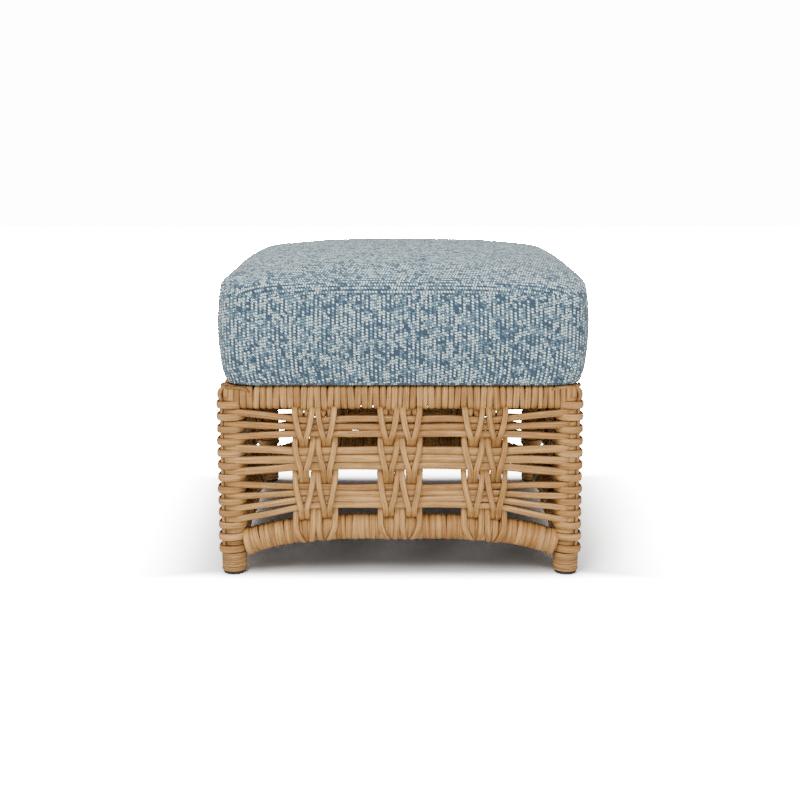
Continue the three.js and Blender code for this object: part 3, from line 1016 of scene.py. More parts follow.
@dataclass
class FootCuff:
    """The short winding of fine turns at the foot of a leg."""

    strands: StrandMaker
    bottom: float = 0.0056
    top: float = 0.0345
    radius: float = 0.0171
    radius_play: Span = (-0.0003, 0.0002)
    turns: int = 8
    rings: int = 36
    thickness: float = 0.0042
    overlap: float = 1.04
    rise_play: float = 0.0006

    def build(self) -> Piece:
        """Winds the cuff round the upright line at zero."""
        parts = []
        pitch = (self.top - self.bottom) / self.turns
        angle = np.linspace(0, FULL_TURN, self.rings) + math.pi / 4
        for turn in range(self.turns):
            height = self.bottom + (turn + 0.5) * pitch
            radius = self.radius + self.strands.chance.uniform(*self.radius_play)
            rise = self.strands.play(self.rise_play) * np.sin(angle)
            line = np.stack([radius * np.cos(angle), radius * np.sin(angle), height + rise], axis=1)
            parts.append(self.strands.lay(line, UPRIGHT, pitch * self.overlap, self.thickness))
        return joined(parts, "cuff_winding")


@dataclass
class TopRailWinding:
    """The upright bands wound side by side round a top rail."""

    sizes: FrameSizes
    strands: StrandMaker
    reach: float = 0.2405
    thickness: float = 0.0052
    corner: float = 0.0055
    corner_share: float = 0.3
    tail: float = 0.0008
    snug: float = 0.99
    widths: tuple[float, ...] = (0.0102, 0.0098, 0.0104, 0.0094, 0.0072, 0.01)
    least_width: float = 0.004
    drop: float = 0.0042
    drop_reach: float = 0.024
    unevenness: float = 0.0006
    lean_play: float = 0.0009
    stations: int = 30

    def build(self) -> Piece:
        """Winds one rail, in the front panel's place."""
        parts = []
        place = -self.reach
        while place < self.reach - self.least_width:
            width = self.strands.chance.choice(self.widths)
            width = min(width, self.reach - place)
            parts.append(self.band(place + width / 2, width * self.snug))
            place += width
        return joined(parts, "rail_winding")

    def band(self, place: float, width: float) -> Piece:
        """Lays one band round the rail.

        Args:
            place: its distance from the rail's middle.
            width: its width.
        Returns:
            The band.
        """
        chance, sizes = self.strands.chance, self.sizes
        half = sizes.rail_half - self.thickness / 2
        bend, round_off = self.corner, self.corner * self.corner_share
        near = min(abs(place - group) for group in sizes.group_places)
        drop = self.drop * max(0.0, 1 - (near / self.drop_reach) ** 4) + chance.uniform(0, self.unevenness)
        proud = chance.uniform(0, self.unevenness)
        low = -half - drop
        ring = [(half, 0), (half, half - bend), (half - round_off, half - round_off),
                (half - bend, half), (0, half), (-half + bend, half),
                (-half + round_off - proud, half - round_off), (-half - proud, half - bend), (-half - proud, 0),
                (-half - proud, low + bend), (-half + round_off, low + round_off), (-half + bend, low),
                (0, low), (half - bend, low), (half - round_off, low + round_off),
                (half, low + bend), (half - self.tail, 0.0)]
        lean = self.strands.play(self.lean_play)
        knots = [(place + lean * z / half, y - sizes.leg_line, z + sizes.rail_height) for y, z in ring]
        return self.strands.lay(smooth_line(knots, self.stations), SIDEWAYS, width, self.thickness)


@dataclass
class ArchWinding:
    """The bands wound round a lower rail, square to its arch."""

    sizes: FrameSizes
    strands: StrandMaker
    reach: float = 0.2335
    end_room: float = 0.004
    widths: tuple[float, ...] = (0.0095, 0.0085, 0.0075, 0.0065, 0.009, 0.0105)
    overlap: float = 1.18
    thickness: float = 0.0058
    radius: float = 0.0168
    radius_play: Span = (-0.0003, 0.0005)
    lean_play: float = 0.0014
    lean_phase: float = 0.4
    slope_step: float = 0.001
    end_inset: float = 0.0028
    end_radii: Span = (0.0186, 0.0182)
    end_lean: Span = (0.0022, 0.0012)
    end_width: float = 0.0112
    end_thickness: float = 0.0066
    stations: int = 26

    def build(self) -> Piece:
        """Winds one lower rail, in the front panel's place."""
        parts = []
        place = -self.reach + self.end_room
        while place < self.reach - self.end_room:
            width = self.strands.chance.choice(self.widths)
            step = width * math.cos(self.slope(place))
            parts.append(self.band(place + step / 2, width * self.overlap))
            place += step
        for side in (-1, 1):
            parts.append(self.end_loop(side))
        return joined(parts, "arch_winding")

    def slope(self, place: float) -> float:
        """Gives the arch's slope as an angle at a distance from its middle."""
        step = self.slope_step
        rise = self.sizes.arch_height(place + step) - self.sizes.arch_height(place - step)
        return math.atan2(rise, step * 2)

    @property
    def turns(self) -> np.ndarray:
        """The angles at which a band's places lie, once round from the rail's inner side."""
        return np.linspace(0, FULL_TURN, self.stations) + math.pi / 2

    def band(self, place: float, width: float) -> Piece:
        """Lays one band round the lower rail.

        Args:
            place: its distance from the rail's middle.
            width: its width.
        Returns:
            The band.
        """
        slope, turns = self.slope(place), self.turns
        lean = self.strands.play(self.lean_play)
        proud = self.radius + self.strands.chance.uniform(*self.radius_play)
        up = proud * np.cos(turns)
        along = lean * np.cos(turns + self.lean_phase)
        x = place + along * math.cos(slope) - up * math.sin(slope)
        z = self.sizes.wound_height(place) + along * math.sin(slope) + up * math.cos(slope)
        line = self.sizes.out_front(np.stack([x, proud * np.sin(turns), z], axis=1))
        return self.strands.lay(line, (math.cos(slope), 0, math.sin(slope)), width, self.thickness)

    def end_loop(self, side: int) -> Piece:
        """Lays the thick slanting loop that closes the winding at a leg.

        Args:
            side: -1 for the left leg, 1 for the right one.
        Returns:
            The loop.
        """
        place = side * (self.reach - self.end_inset)
        slope, turns = self.slope(place), self.turns
        up = self.end_radii[0] * np.cos(turns)
        out = self.end_radii[1] * np.sin(turns)
        along = -side * (self.end_lean[0] * np.cos(turns) - self.end_lean[1])
        x = place + along - up * math.sin(slope)
        z = self.sizes.wound_height(place) + up * math.cos(slope)
        line = self.sizes.out_front(np.stack([x, out, z], axis=1))
        return self.strands.lay(line, (math.cos(slope), 0, math.sin(slope)), self.end_width, self.end_thickness)


@dataclass
class TierStrands:
    """The strands of one tier: fanned out to the loops of the legs and drawn together between."""

    sizes: FrameSizes
    strands: StrandMaker
    stations: int = 96
    shares: tuple[float, ...] = (1.0, 0.92, 0.78, 0.6, 0.5, 0.3, 0.1)
    eases: tuple[float, ...] = (0.0, 0.14, 0.44, 0.9, 1.0, 1.0, 1.0)
    drawn_places: tuple[tuple[float, ...], ...] = (
        (0.0126, 0.0002, -0.01), (0.0131, 0.0012, -0.0107), (0.0137, 0.0045, -0.0046, -0.0137))
    drawn_share: float = 0.4
    widths: tuple[float, ...] = (0.0107, 0.0125, 0.0101)
    turn_angles: tuple[int, ...] = (90, 78, 60, 45, 30, 12)
    height_play: float = 0.0006
    depth_play: float = 0.0004

    def build(self, tier: int) -> Piece:
        """Lays one tier, in the front panel's place.

        Args:
            tier: 0 for the top one.
        Returns:
            The tier.
        """
        first = sum(self.sizes.tier_counts[:tier])
        count = self.sizes.tier_counts[tier]
        parts = [self.strand(tier, first + index, index) for index in range(count)]
        return joined(parts, f"tier_{tier + 1}")

    def strand(self, tier: int, loop: int, place: int) -> Piece:
        """Lays one strand, with its turn round the left leg's outer corner.

        Args:
            tier: 0 for the top one.
            loop: which loop of the leg it comes from.
            place: its place in the tier, counted down from the top.
        Returns:
            The strand.
        """
        sizes, play = self.sizes, self.strands.play
        leg_height = sizes.first_loop - loop * sizes.loop_pitch
        line_out = sizes.strand_line
        even = ((sizes.tier_counts[tier] - 1) / 2 - place) * sizes.tier_pitches[tier]
        knots = []
        for turn in self.turn_angles:
            angle = math.radians(FRONT_DEGREES - turn)
            knots.append((-sizes.leg_line + line_out * math.cos(angle), line_out * math.sin(angle), leg_height))
        half = list(zip(self.shares, self.eases))
        for share, ease in [(-share, ease) for share, ease in half] + half[::-1]:
            rise = self.drawn_places[tier][place] if abs(share) < self.drawn_share else even
            drawn = sizes.tier_heights[tier] + rise
            height = leg_height + (drawn - leg_height) * ease + play(self.height_play)
            knots.append((share * sizes.leg_line, -line_out + play(self.depth_play), height))
        line = sizes.out_front(smooth_line(knots, self.stations))
        return self.strands.lay(line, UPRIGHT, self.widths[tier], sizes.strand_thickness)


@dataclass
class StakeGroup:
    """Four stakes that draw together into two Vs over each tier and loop round the lower rail."""

    sizes: FrameSizes
    strands: StrandMaker
    pair_half: float = 0.01725
    open_half: float = 0.0128
    closed_half: float = 0.0043
    squeeze: float = 0.0009
    width: float = 0.0094
    thickness: float = 0.006
    weave_gap: float = 0.0004
    slack: float = 0.0012
    slack_share: float = 0.3
    tuck: float = 0.004
    room: float = 0.003
    lift: float = 0.005
    back_tuck: float = 0.002
    first_drops: Span = (0.001, 0.008)
    bows: Span = (0.0008, 0.001)
    nip: float = 0.0006
    side_play: float = 0.0008
    foot_share: float = 0.74
    foot_spread: float = 1.12
    foot_snug: float = 0.24
    back_snug: float = 0.1
    rail_room: float = 0.0197
    opening_turns: tuple[tuple[int, float], ...] = ((300, 0.08), (328, 0.34), (358, 0.72))
    stations: int = 132

    def build(self, centre: float) -> Piece:
        """Lays one group, in the front panel's place.

        Args:
            centre: the group's distance from the panel's middle.
        Returns:
            The group.
        """
        parts = [self.stake(centre, pair, side) for pair in (-1, 1) for side in (-1, 1)]
        return joined(parts, "stakes")

    def stake(self, centre: float, pair: int, side: int) -> Piece:
        """Lays one stake: down, round the lower rail and up again.

        Args:
            centre: the group's distance from the panel's middle.
            pair: -1 for the left V, 1 for the right one.
            side: -1 for the left half of the V, 1 for the right half.
        Returns:
            The stake.
        """
        sizes = self.sizes
        x = centre + pair * self.pair_half
        foot = centre + pair * self.pair_half * self.foot_share + side * self.closed_half * self.foot_spread
        front = -sizes.strand_line - sizes.strand_thickness - self.weave_gap
        back = -sizes.strand_line + sizes.strand_thickness + self.weave_gap
        opened = x + side * self.open_half + self.strands.play(self.side_play)
        closed = x + side * self.closed_half
        between = (opened + closed) / 2
        inward = closed - side * self.squeeze
        outward = opened + side * self.squeeze
        halves = [((count - 1) * pitch + sizes.strand_width) / 2
                  for count, pitch in zip(sizes.tier_counts, sizes.tier_pitches)]
        above = [height + half + self.weave_gap for height, half in zip(sizes.tier_heights, halves)]
        below = [height - half - self.weave_gap for height, half in zip(sizes.tier_heights, halves)]
        top = sizes.rail_height - sizes.rail_half
        rail = sizes.wound_height(closed)
        reach = self.rail_room + self.weave_gap + self.thickness / 2
        proud, slightly, behind = front - self.slack, front - self.slack * self.slack_share, back + self.slack
        tiers = sizes.tier_heights
        tuck, room, lift, nip = self.tuck, self.room, self.lift, side * self.nip
        first_bow, bow = (side * out for out in self.bows)
        drop, far_drop = self.first_drops
        knots = [
            (opened, back + tuck, top + tuck), (opened, front + room, top - drop),
            (opened - first_bow, proud, top - far_drop), (between, proud, tiers[0]),
            (closed + nip, slightly, below[0] + room), (inward, front + lift, below[0] - room),
            (inward, back, above[1]), ((inward + outward) / 2, behind, tiers[1]),
            (outward, back, below[1]), (opened, front + tuck, above[2] + room),
            (opened - bow, proud, above[2] - room), (between, proud, tiers[2]),
            (closed, slightly, below[2] + room), (closed, front + tuck, below[2] - tuck)]
        loop = [(62, closed), (95, closed), (135, (closed + foot) / 2), (180, foot), (225, foot), (270, foot)]
        loop += [(turn, foot + (opened - foot) * share) for turn, share in self.opening_turns]
        loop.append((385, opened))
        for turn, where in loop:
            angle = math.radians(turn)
            snug = 1 - self.foot_snug * max(0.0, -math.sin(angle)) - self.back_snug * max(0.0, -math.cos(angle))
            knots.append((where, -reach * math.cos(angle) * snug, rail + reach * math.sin(angle) * snug))
        knots += [
            (opened, back - self.back_tuck, below[2] - drop), (opened, back, below[2] + lift),
            (between, behind, tiers[2]), (closed, back, above[2]),
            (closed, front + tuck, below[1] - room), (closed + nip, slightly, below[1] + room),
            (between, proud, tiers[1]), (opened - bow, proud, above[1] - room),
            (opened, front + tuck, above[1] + room), (opened, back, below[0]),
            (between, behind, tiers[0]), (closed, back, top), (closed, back + self.back_tuck, top + tuck)]
        line = sizes.out_front(smooth_line(knots, self.stations))
        return self.strands.lay(line, SIDEWAYS, self.width, self.thickness)


@dataclass
class WickerFrame:
    """All the wicker on the frame, with the tubes, deck and glides that it covers."""

    sizes: FrameSizes
    paint: Paintbox
    strands: StrandMaker = field(default_factory=StrandMaker)

    def build(self) -> None:
        """Builds every wicker piece and ties it to its solids."""
        self.legs()
        self.rails()
        self.panels()
        self.strands.clear()
        self.carried()

    def round_legs(self, piece: Piece, label: str) -> list[Piece]:
        """Moves a piece to the front left leg and repeats it at the others."""
        line = self.sizes.leg_line
        piece.data.transform(Matrix.Translation((-line, -line, 0)))
        return quarter_copies(piece, [f"{label}_{tag(corner)}" for corner in Corner])

    def legs(self) -> None:
        """Builds the legs' windings with their caps, and the cuffs."""
        winding = LegWinding(self.sizes, self.strands).build()
        cap = CornerCap(self.sizes, self.strands).build()
        whole = joined([winding, cap], "leg_winding")
        for corner, piece in zip(Corner, self.round_legs(whole, "leg_winding")):
            place_piece(piece, FRAME_BODY, "wicker", self.paint.wicker, f"leg_wrap_{tag(corner)}")
        cuff = FootCuff(self.strands).build()
        for corner, piece in zip(Corner, self.round_legs(cuff, "cuff_winding")):
            place_piece(piece, FRAME_BODY, "wicker_fine", self.paint.fine_wicker, f"foot_cuff_{tag(corner)}")

    def round_sides(self, piece: Piece, label: str, node: str) -> None:
        """Repeats a piece of the front at the other sides.

        Args:
            piece: the front's piece.
            label: the pieces' name without the side.
            node: the solids' name without the side.
        """
        for side, copy in zip(Side, quarter_copies(piece, [f"{label}_{tag(side)}" for side in Side])):
            place_piece(copy, FRAME_BODY, "wicker", self.paint.wicker, f"{node}_{tag(side)}")

    def rails(self) -> None:
        """Builds the windings of the top rails and of the arched lower rails."""
        self.round_sides(TopRailWinding(self.sizes, self.strands).build(), "rail_winding", "top_rail_wrap")
        self.round_sides(ArchWinding(self.sizes, self.strands).build(), "arch_winding", "arch_rail_wrap")

    def panels(self) -> None:
        """Builds the woven panels, tier by tier and stake group by stake group."""
        for tier in range(len(self.sizes.tier_heights)):
            piece = TierStrands(self.sizes, self.strands).build(tier)
            self.round_sides(piece, f"tier_strands_{tier + 1}", f"tier_{tier + 1}")
        for label, centre in zip(("left", "middle", "right"), self.sizes.group_places):
            piece = StakeGroup(self.sizes, self.strands).build(centre)
            self.round_sides(piece, f"stake_group_{label}", f"stakes_{label}")

    def carried(self) -> None:
        """Dresses the solids that stay: tubes, deck and glides."""
        for label, places, material in (
                ("leg_tube", Corner, self.paint.tube), ("foot_glide", Corner, self.paint.glide),
                ("top_rail", Side, self.paint.tube), ("arch_rail", Side, self.paint.tube)):
            for place in places:
                dress_solid(f"{label}_{tag(place)}", material)
        dress_solid("seat_deck", self.paint.deck)


@dataclass
class BoxCushion:
    """The loose box cushion: a crowned cover with a seam round its top and its bottom."""

    paint: Paintbox
    half: float = 0.2876
    cuts: int = 29
    cover_skin: float = 0.003
    core_skin: float = 0.014
    fill: float = 0.9
    outermost: float = 0.999
    belly: float = 0.0025
    belly_place: float = 1.15
    belly_bend: float = 2.2
    foot_inset: float = 0.0075
    foot_bend: int = 6
    sink: float = 0.003
    bottom: float = 0.2945
    lower_seam: float = 0.3053
    upper_seam: float = 0.4353
    crown: float = 0.0505
    crown_fall: float = 0.25
    corner_share: float = 12.0
    side_draw: float = 0.003
    voxel: float = 0.0052
    cap: float = 0.0035
    seam_hold: float = 0.05
    seam_window: float = 0.01
    seam_freedom: float = 0.12
    seam_depth: float = 0.0008
    seam_width: float = 0.0032
    seam_rise: float = 0.003
    seam_inward: float = 0.9
    pucker_share: float = 0.25
    pucker_waves: Span = (420, 300)
    lull_depth: float = 0.0008
    lull_waves: Span = (21, 17)
    lull_phases: Span = (1.3, 0.4)
    lull_start: float = 0.44
    lull_ease: float = 40
    zip_height: float = ZIP_HEIGHT
    zip_reach: float = 0.225
    zip_band: float = 0.016
    offset: Place = (0.005, -0.0015, 0.0)
    back_start: float = 0.2
    back_face: float = 0.2818
    ring_stations: int = 1441
    top_room: float = 0.0005
    low_room: float = 0.004
    top_chart: float = 5
    cloth_frames: int = 20
    pressure: float = 4
    cloth_values: tuple[tuple[str, float], ...] = (
        ("quality", 5), ("mass", 0.4), ("tension_stiffness", 25), ("compression_stiffness", 25),
        ("shear_stiffness", 10), ("bending_stiffness", 2), ("use_pressure", True))

    def shaped(self, name: str, shrink: float) -> Piece:
        """Models the form from a cube, cut fine in edit mode and drawn to its shape.

        Args:
            name: the piece's name.
            shrink: how much smaller it is all round.
        Returns:
            The form.
        """
        deselect_all()
        bpy.ops.mesh.primitive_cube_add(size=2)
        with editing():
            bpy.ops.mesh.select_all(action="SELECT")
            bpy.ops.mesh.subdivide(number_cuts=self.cuts)
        piece = named(bpy.context.object, name)
        set_points(piece, self.place(points_of(piece), shrink))
        return piece

    def spread(self, first: np.ndarray, second: np.ndarray) -> np.ndarray:
        """Gives how far out places lie on a square with rounded corners, from their two coordinates."""
        n = self.corner_share
        return (np.abs(first) ** n + np.abs(second) ** n) ** (1 / n)

    def place(self, cube: np.ndarray, shrink: float) -> np.ndarray:
        """Takes places on a cube of size 2 to places on the cushion.

        Args:
            cube: the places, one row each.
            shrink: how much smaller the form is all round.
        Returns:
            The places on the cushion.
        """
        w = cube[:, 2]
        on_top, below = w > self.outermost, w < -self.outermost
        u, v = np.sin(cube[:, 0] * math.pi / 2), np.sin(cube[:, 1] * math.pi / 2)
        n = self.corner_share
        longest = np.maximum(np.abs(u), np.abs(v))
        norm = np.maximum(self.spread(u, v), TINY)
        scale = np.where(longest > 0, longest / norm, 1)
        height = (w + 1) / 2
        belly = self.belly * (1 - np.abs(2 * height - self.belly_place) ** self.belly_bend)
        half = self.half - shrink - self.belly + np.where(on_top | below, 0, belly)
        half = half - np.where(on_top, 0, self.foot_inset * (1 - height) ** self.foot_bend)
        x = u * scale * (half - self.side_draw * (1 - v ** 2) * np.abs(u) ** n)
        y = v * scale * (half - self.side_draw * (1 - u ** 2) * np.abs(v) ** n)
        rise = np.maximum((1 - u ** 2) * (1 - v ** 2), 0) ** self.crown_fall
        z_top = self.upper_seam - shrink + self.crown * rise
        low_edge = self.bottom + shrink - self.sink
        z_side = low_edge + (self.upper_seam - shrink - low_edge) * height
        z = np.where(on_top, z_top, np.where(below, low_edge, z_side))
        return np.stack([x, y, z], axis=1)

    def swollen(self, piece: Piece) -> None:
        """Remeshes the form, fills it like cloth round wadding and keeps its start as an attribute.

        Args:
            piece: the shaped form.
        """
        remesh = piece.modifiers.new("remesh", "REMESH")
        remesh.mode = "VOXEL"
        remesh.voxel_size = self.voxel
        apply_modifiers(piece)
        start = points_of(piece)
        settings = piece.modifiers.new("cloth", "CLOTH").settings
        for name, value in self.cloth_values:
            setattr(settings, name, value)
        settings.uniform_pressure_force = self.pressure
        settings.effector_weights.gravity = 0
        for step in range(1, self.cloth_frames + 1):
            bpy.context.scene.frame_set(step)
        apply_modifiers(piece)
        bpy.context.scene.frame_set(1)
        move = points_of(piece) - start
        reach = np.linalg.norm(move, axis=1)
        share = self.cap * np.tanh(reach / self.cap) / np.maximum(reach, TINY)
        share = share * self.freedom(start)
        set_points(piece, start + move * share[:, None])
        piece.data.attributes.new("start", "FLOAT_VECTOR", "POINT").data.foreach_set(
            "vector", start.astype(np.float32).ravel())
        fine = piece.modifiers.new("fine", "SUBSURF")
        fine.levels = fine.render_levels = 1
        apply_modifiers(piece)

    def freedom(self, start: np.ndarray) -> np.ndarray:
        """Gives how freely each point may swell: little at the seams, fully in the panels' middles."""
        inside = np.maximum(self.edge_room(start), 0)
        upper = np.hypot(start[:, 2] - self.upper_seam, inside * (start[:, 2] > self.upper_seam - self.seam_window))
        lower = np.hypot(start[:, 2] - self.lower_seam, inside * (start[:, 2] < self.lower_seam))
        room = np.clip(np.minimum(upper, lower) / self.seam_hold, 0, 1)
        return self.seam_freedom + (1 - self.seam_freedom) * room * room * (3 - 2 * room)

    def start_places(self, piece: Piece) -> np.ndarray:
        """Gives where each point of the swollen form started."""
        return read(piece.data.attributes["start"].data, "vector", 3)

    def edge_room(self, start: np.ndarray) -> np.ndarray:
        """Gives how far each point started inside the cushion's outline, seen from above."""
        share = np.abs(start[:, :2]) / (self.half - self.cover_skin)
        return (1 - self.spread(share[:, 0], share[:, 1])) * self.half

    def sewn(self, piece: Piece) -> None:
        """Presses the seams in, keeps the cushion on the frame and flattens the zip's place.

        Args:
            piece: the swollen form.
        """
        start = self.start_places(piece)
        places = points_of(piece)
        normals = read(piece.data.vertices, "normal", 3)
        inside = np.maximum(self.edge_room(start), 0)
        for seam, outward in ((self.upper_seam - self.seam_rise, 1), (self.lower_seam, -1)):
            above = start[:, 2] - seam
            off = np.where(above * outward > 0, np.hypot(above, inside * self.seam_inward), np.abs(above))
            dent = self.seam_depth * np.exp(-(off / self.seam_width) ** 2)
            pucker = 1 + self.pucker_share * np.sin(start[:, :2] @ self.pucker_waves)
            places = places - normals * (dent * pucker)[:, None]
        lull = np.prod(np.sin(start[:, :2] * self.lull_waves + self.lull_phases), axis=1)
        places[:, 2] += self.lull_depth * lull * np.clip((start[:, 2] - self.lull_start) * self.lull_ease, 0, 1)
        places[:, 2] = np.maximum(places[:, 2], self.bottom)
        places = places + np.array(self.offset)
        near = np.exp(-((places[:, 2] - self.zip_height) / self.zip_band) ** 4)
        near = near * (np.abs(places[:, 0]) < self.zip_reach) * (places[:, 1] > self.back_start)
        places[:, 1] += (self.back_face - places[:, 1]) * near
        set_points(piece, places)

    def run_round(self, places: np.ndarray, middles: np.ndarray) -> np.ndarray:
        """Gives how far round the boxing places lie, without a jump inside a face.

        Args:
            places: the places of the faces' corners.
            middles: for each corner, the middle of its face.
        Returns:
            The length round the boxing at each corner.
        """
        angle = np.linspace(-math.pi, math.pi, self.ring_stations)
        across, deep = np.cos(angle), np.sin(angle)
        radius = self.half / self.spread(across, deep)
        length = run_along(np.stack([radius * across, radius * deep], axis=1))
        turn = np.arctan2(places[:, 1], places[:, 0])
        face_turn = np.arctan2(middles[:, 1], middles[:, 0])
        turn = np.where(turn - face_turn > math.pi, turn - FULL_TURN, turn)
        turn = np.where(turn - face_turn < -math.pi, turn + FULL_TURN, turn)
        around = np.interp(turn, angle, length)
        around = around + np.where(turn > math.pi, turn - math.pi, 0) * self.half
        return around + np.where(turn < -math.pi, turn + math.pi, 0) * self.half

    def charted(self, piece: Piece) -> None:
        """Charts the cloth: ribs run across on top and upright on the boxing.

        Args:
            piece: the sewn form.
        """
        mesh = piece.data
        start = self.start_places(piece)
        corners = read(mesh.loops, "vertex_index", kind=np.int32)
        starts = read(mesh.polygons, "loop_start", kind=np.int32)
        totals = read(mesh.polygons, "loop_total", kind=np.int32)
        places = start[corners]
        middles = np.repeat(np.add.reduceat(places, starts, axis=0) / totals[:, None], totals, axis=0)
        top = middles[:, 2] > self.upper_seam - self.top_room
        low = middles[:, 2] < self.bottom + self.low_room
        fourth = places[:, :2] ** 4 + TINY
        fall = (self.upper_seam + self.crown - places[:, 2]) * top
        run_out = places[:, :2] + fall[:, None] * np.sign(places[:, :2]) * fourth / fourth.sum(axis=1)[:, None]
        around = self.run_round(places, middles)
        ribs = np.where(top | low, run_out[:, 1] + self.top_chart, around)
        stitches = np.where(top | low, run_out[:, 0] + self.top_chart, places[:, 2])
        chart = np.stack([ribs, stitches], axis=1)
        mesh.uv_layers.new(name=CLOTH_MAP).data.foreach_set("uv", chart.ravel())

    def build(self) -> None:
        """Builds the cover and the core inside it."""
        cover = self.shaped("cushion_box_cover", self.cover_skin)
        self.swollen(cover)
        self.sewn(cover)
        self.charted(cover)
        cover.data.attributes.remove(cover.data.attributes["start"])
        make_active(cover)
        bpy.ops.object.shade_smooth()
        place_piece(cover, CUSHION_BODY, "cover_cloth", self.paint.tweed, "cushion_cover")
        core = self.shaped("cushion_core", self.core_skin)
        soften = core.modifiers.new("soften", "SMOOTH")
        soften.iterations = 4
        apply_modifiers(core)
        bpy.ops.object.shade_smooth()
        place_piece(core, CUSHION_BODY, "cushion_fill", self.paint.foam, "cushion_fill")


@dataclass
class ZipFastener:
    """The zip in the back boxing: two tapes, two rows of teeth and a slider with its pull."""

    paint: Paintbox
    length: float = 0.42
    height: float = ZIP_HEIGHT
    face: float = 0.2835
    tooth_pitch: float = 0.0026
    tooth: Place = (0.0016, 0.0016, 0.0026)
    tooth_round: float = 0.0003
    tooth_proud: float = 0.0002
    row_offset: float = 0.001
    tape_width: float = 0.0072
    tape_thickness: float = 0.0014
    tape_gap: float = 0.0004
    tape_sink: float = 0.0009
    stop: Place = (0.0026, 0.002, 0.0046)
    stop_inset: float = 0.0016
    edge_round: float = 0.0005
    body: Place = (0.0106, 0.0016, 0.0088)
    body_round: float = 0.0006
    flange: Place = (0.0098, 0.0026, 0.0012)
    flange_round: float = 0.0004
    bridge: Place = (0.0062, 0.0014, 0.0022)
    pull_plate: Place = (0.0056, 0.0011, 0.0152)
    pull_drop: float = 0.0077
    pull_inset: Span = (0.0009, -0.0003)
    proud: float = 0.0026
    flange_proud: float = -0.0012
    bridge_proud: float = 0.0008
    pull_proud: float = 0.0011

    def build(self) -> None:
        """Builds the zip and ties the slider to its own body."""
        tapes = [self.tape(side) for side in (-1, 1)]
        place_piece(joined(tapes, "zip_tapes"), CUSHION_BODY, "cover_cloth", self.paint.zip_tape)
        place_piece(self.teeth(), CUSHION_BODY, "zip", self.paint.zip_nylon)
        place_piece(self.slider(), ZIP_BODY, "zip", self.paint.zip_metal, "zip_slider")

    def block(self, size: Place, place: Place, bevel: float, segments: int = 2) -> Piece:
        """Models a rounded block: a cube at its size and place, bevelled in edit mode.

        Args:
            size: its size along each axis.
            place: its middle.
            bevel: how far the edges are rounded.
            segments: the faces across a rounded edge.
        Returns:
            The block.
        """
        deselect_all()
        bpy.ops.mesh.primitive_cube_add(size=1, location=place, scale=size)
        bpy.ops.object.transform_apply(location=True, rotation=True, scale=True)
        with editing():
            bpy.ops.mesh.select_all(action="SELECT")
            bpy.ops.mesh.bevel(offset=bevel, segments=segments, affect="EDGES")
        return bpy.context.object

    def tape(self, side: int) -> Piece:
        """Models one tape with its folded edge.

        Args:
            side: 1 for the upper tape, -1 for the lower one.
        Returns:
            The tape.
        """
        middle = self.height + side * (self.tape_gap + self.tape_width / 2)
        size = (self.length, self.tape_thickness, self.tape_width)
        tape = self.block(size, (0, self.face - self.tape_sink, middle), self.edge_round)
        chart = tape.data.uv_layers.new(name=CLOTH_MAP).data
        for loop in tape.data.loops:
            place = tape.data.vertices[loop.vertex_index].co
            chart[loop.index].uv = (place.x, place.z)
        return tape

    def teeth(self) -> Piece:
        """Models one tooth and copies it along both tapes, the rows half a pitch apart."""
        face = self.face + self.tooth_proud
        first = self.block(self.tooth, (0, face, 0), self.tooth_round, 1)
        count = int(self.length / self.tooth_pitch) - 2
        teeth = []
        for row in (-1, 1):
            for index in range(count):
                tooth = copy_of(first)
                x = (index - (count - 1) / 2) * self.tooth_pitch + row * self.tooth_pitch / 4
                tooth.data.transform(Matrix.Translation((x, 0, self.height + row * self.row_offset)))
                teeth.append(tooth)
        bpy.data.objects.remove(first, do_unlink=True)
        for end in (-1, 1):
            place = (end * (self.length / 2 - self.stop_inset), face, self.height)
            teeth.append(self.block(self.stop, place, self.edge_round))
        return joined(teeth, "zip_teeth")

    def slider(self) -> Piece:
        """Models the slider: a pinched body, its bridge and a hanging pull."""
        low, high = (Vector(corner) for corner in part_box("zip_slider"))
        x, deep = (low.x + high.x) / 2, self.face + self.proud
        parts = [self.block(self.body, (x, deep, self.height), self.body_round, 3)]
        edge = (self.body[2] - self.flange[2]) / 2
        for side in (1, -1):
            place = (x, deep + self.flange_proud, self.height + side * edge)
            parts.append(self.block(self.flange, place, self.flange_round))
        parts.append(self.block(self.bridge, (x, deep + self.bridge_proud, self.height), self.edge_round, 3))
        parts.append(self.pull(x, deep + self.pull_proud))
        return joined(parts, "zip_slider_pull")

    def pull(self, x: float, y: float) -> Piece:
        """Models the pull: a hanging plate with its face inset.

        Args:
            x, y: the pull's middle, from the side and from above.
        Returns:
            The pull.
        """
        plate = self.block(self.pull_plate, (x, y, self.height - self.pull_drop), self.edge_round)
        with editing():
            bpy.ops.mesh.select_mode(type="FACE")
            bpy.ops.mesh.select_all(action="DESELECT")
        outer = max(plate.data.polygons, key=lambda face: face.normal.y * face.area)
        outer.select = True
        with editing():
            bpy.ops.mesh.inset(thickness=self.pull_inset[0], depth=self.pull_inset[1])
        return plate


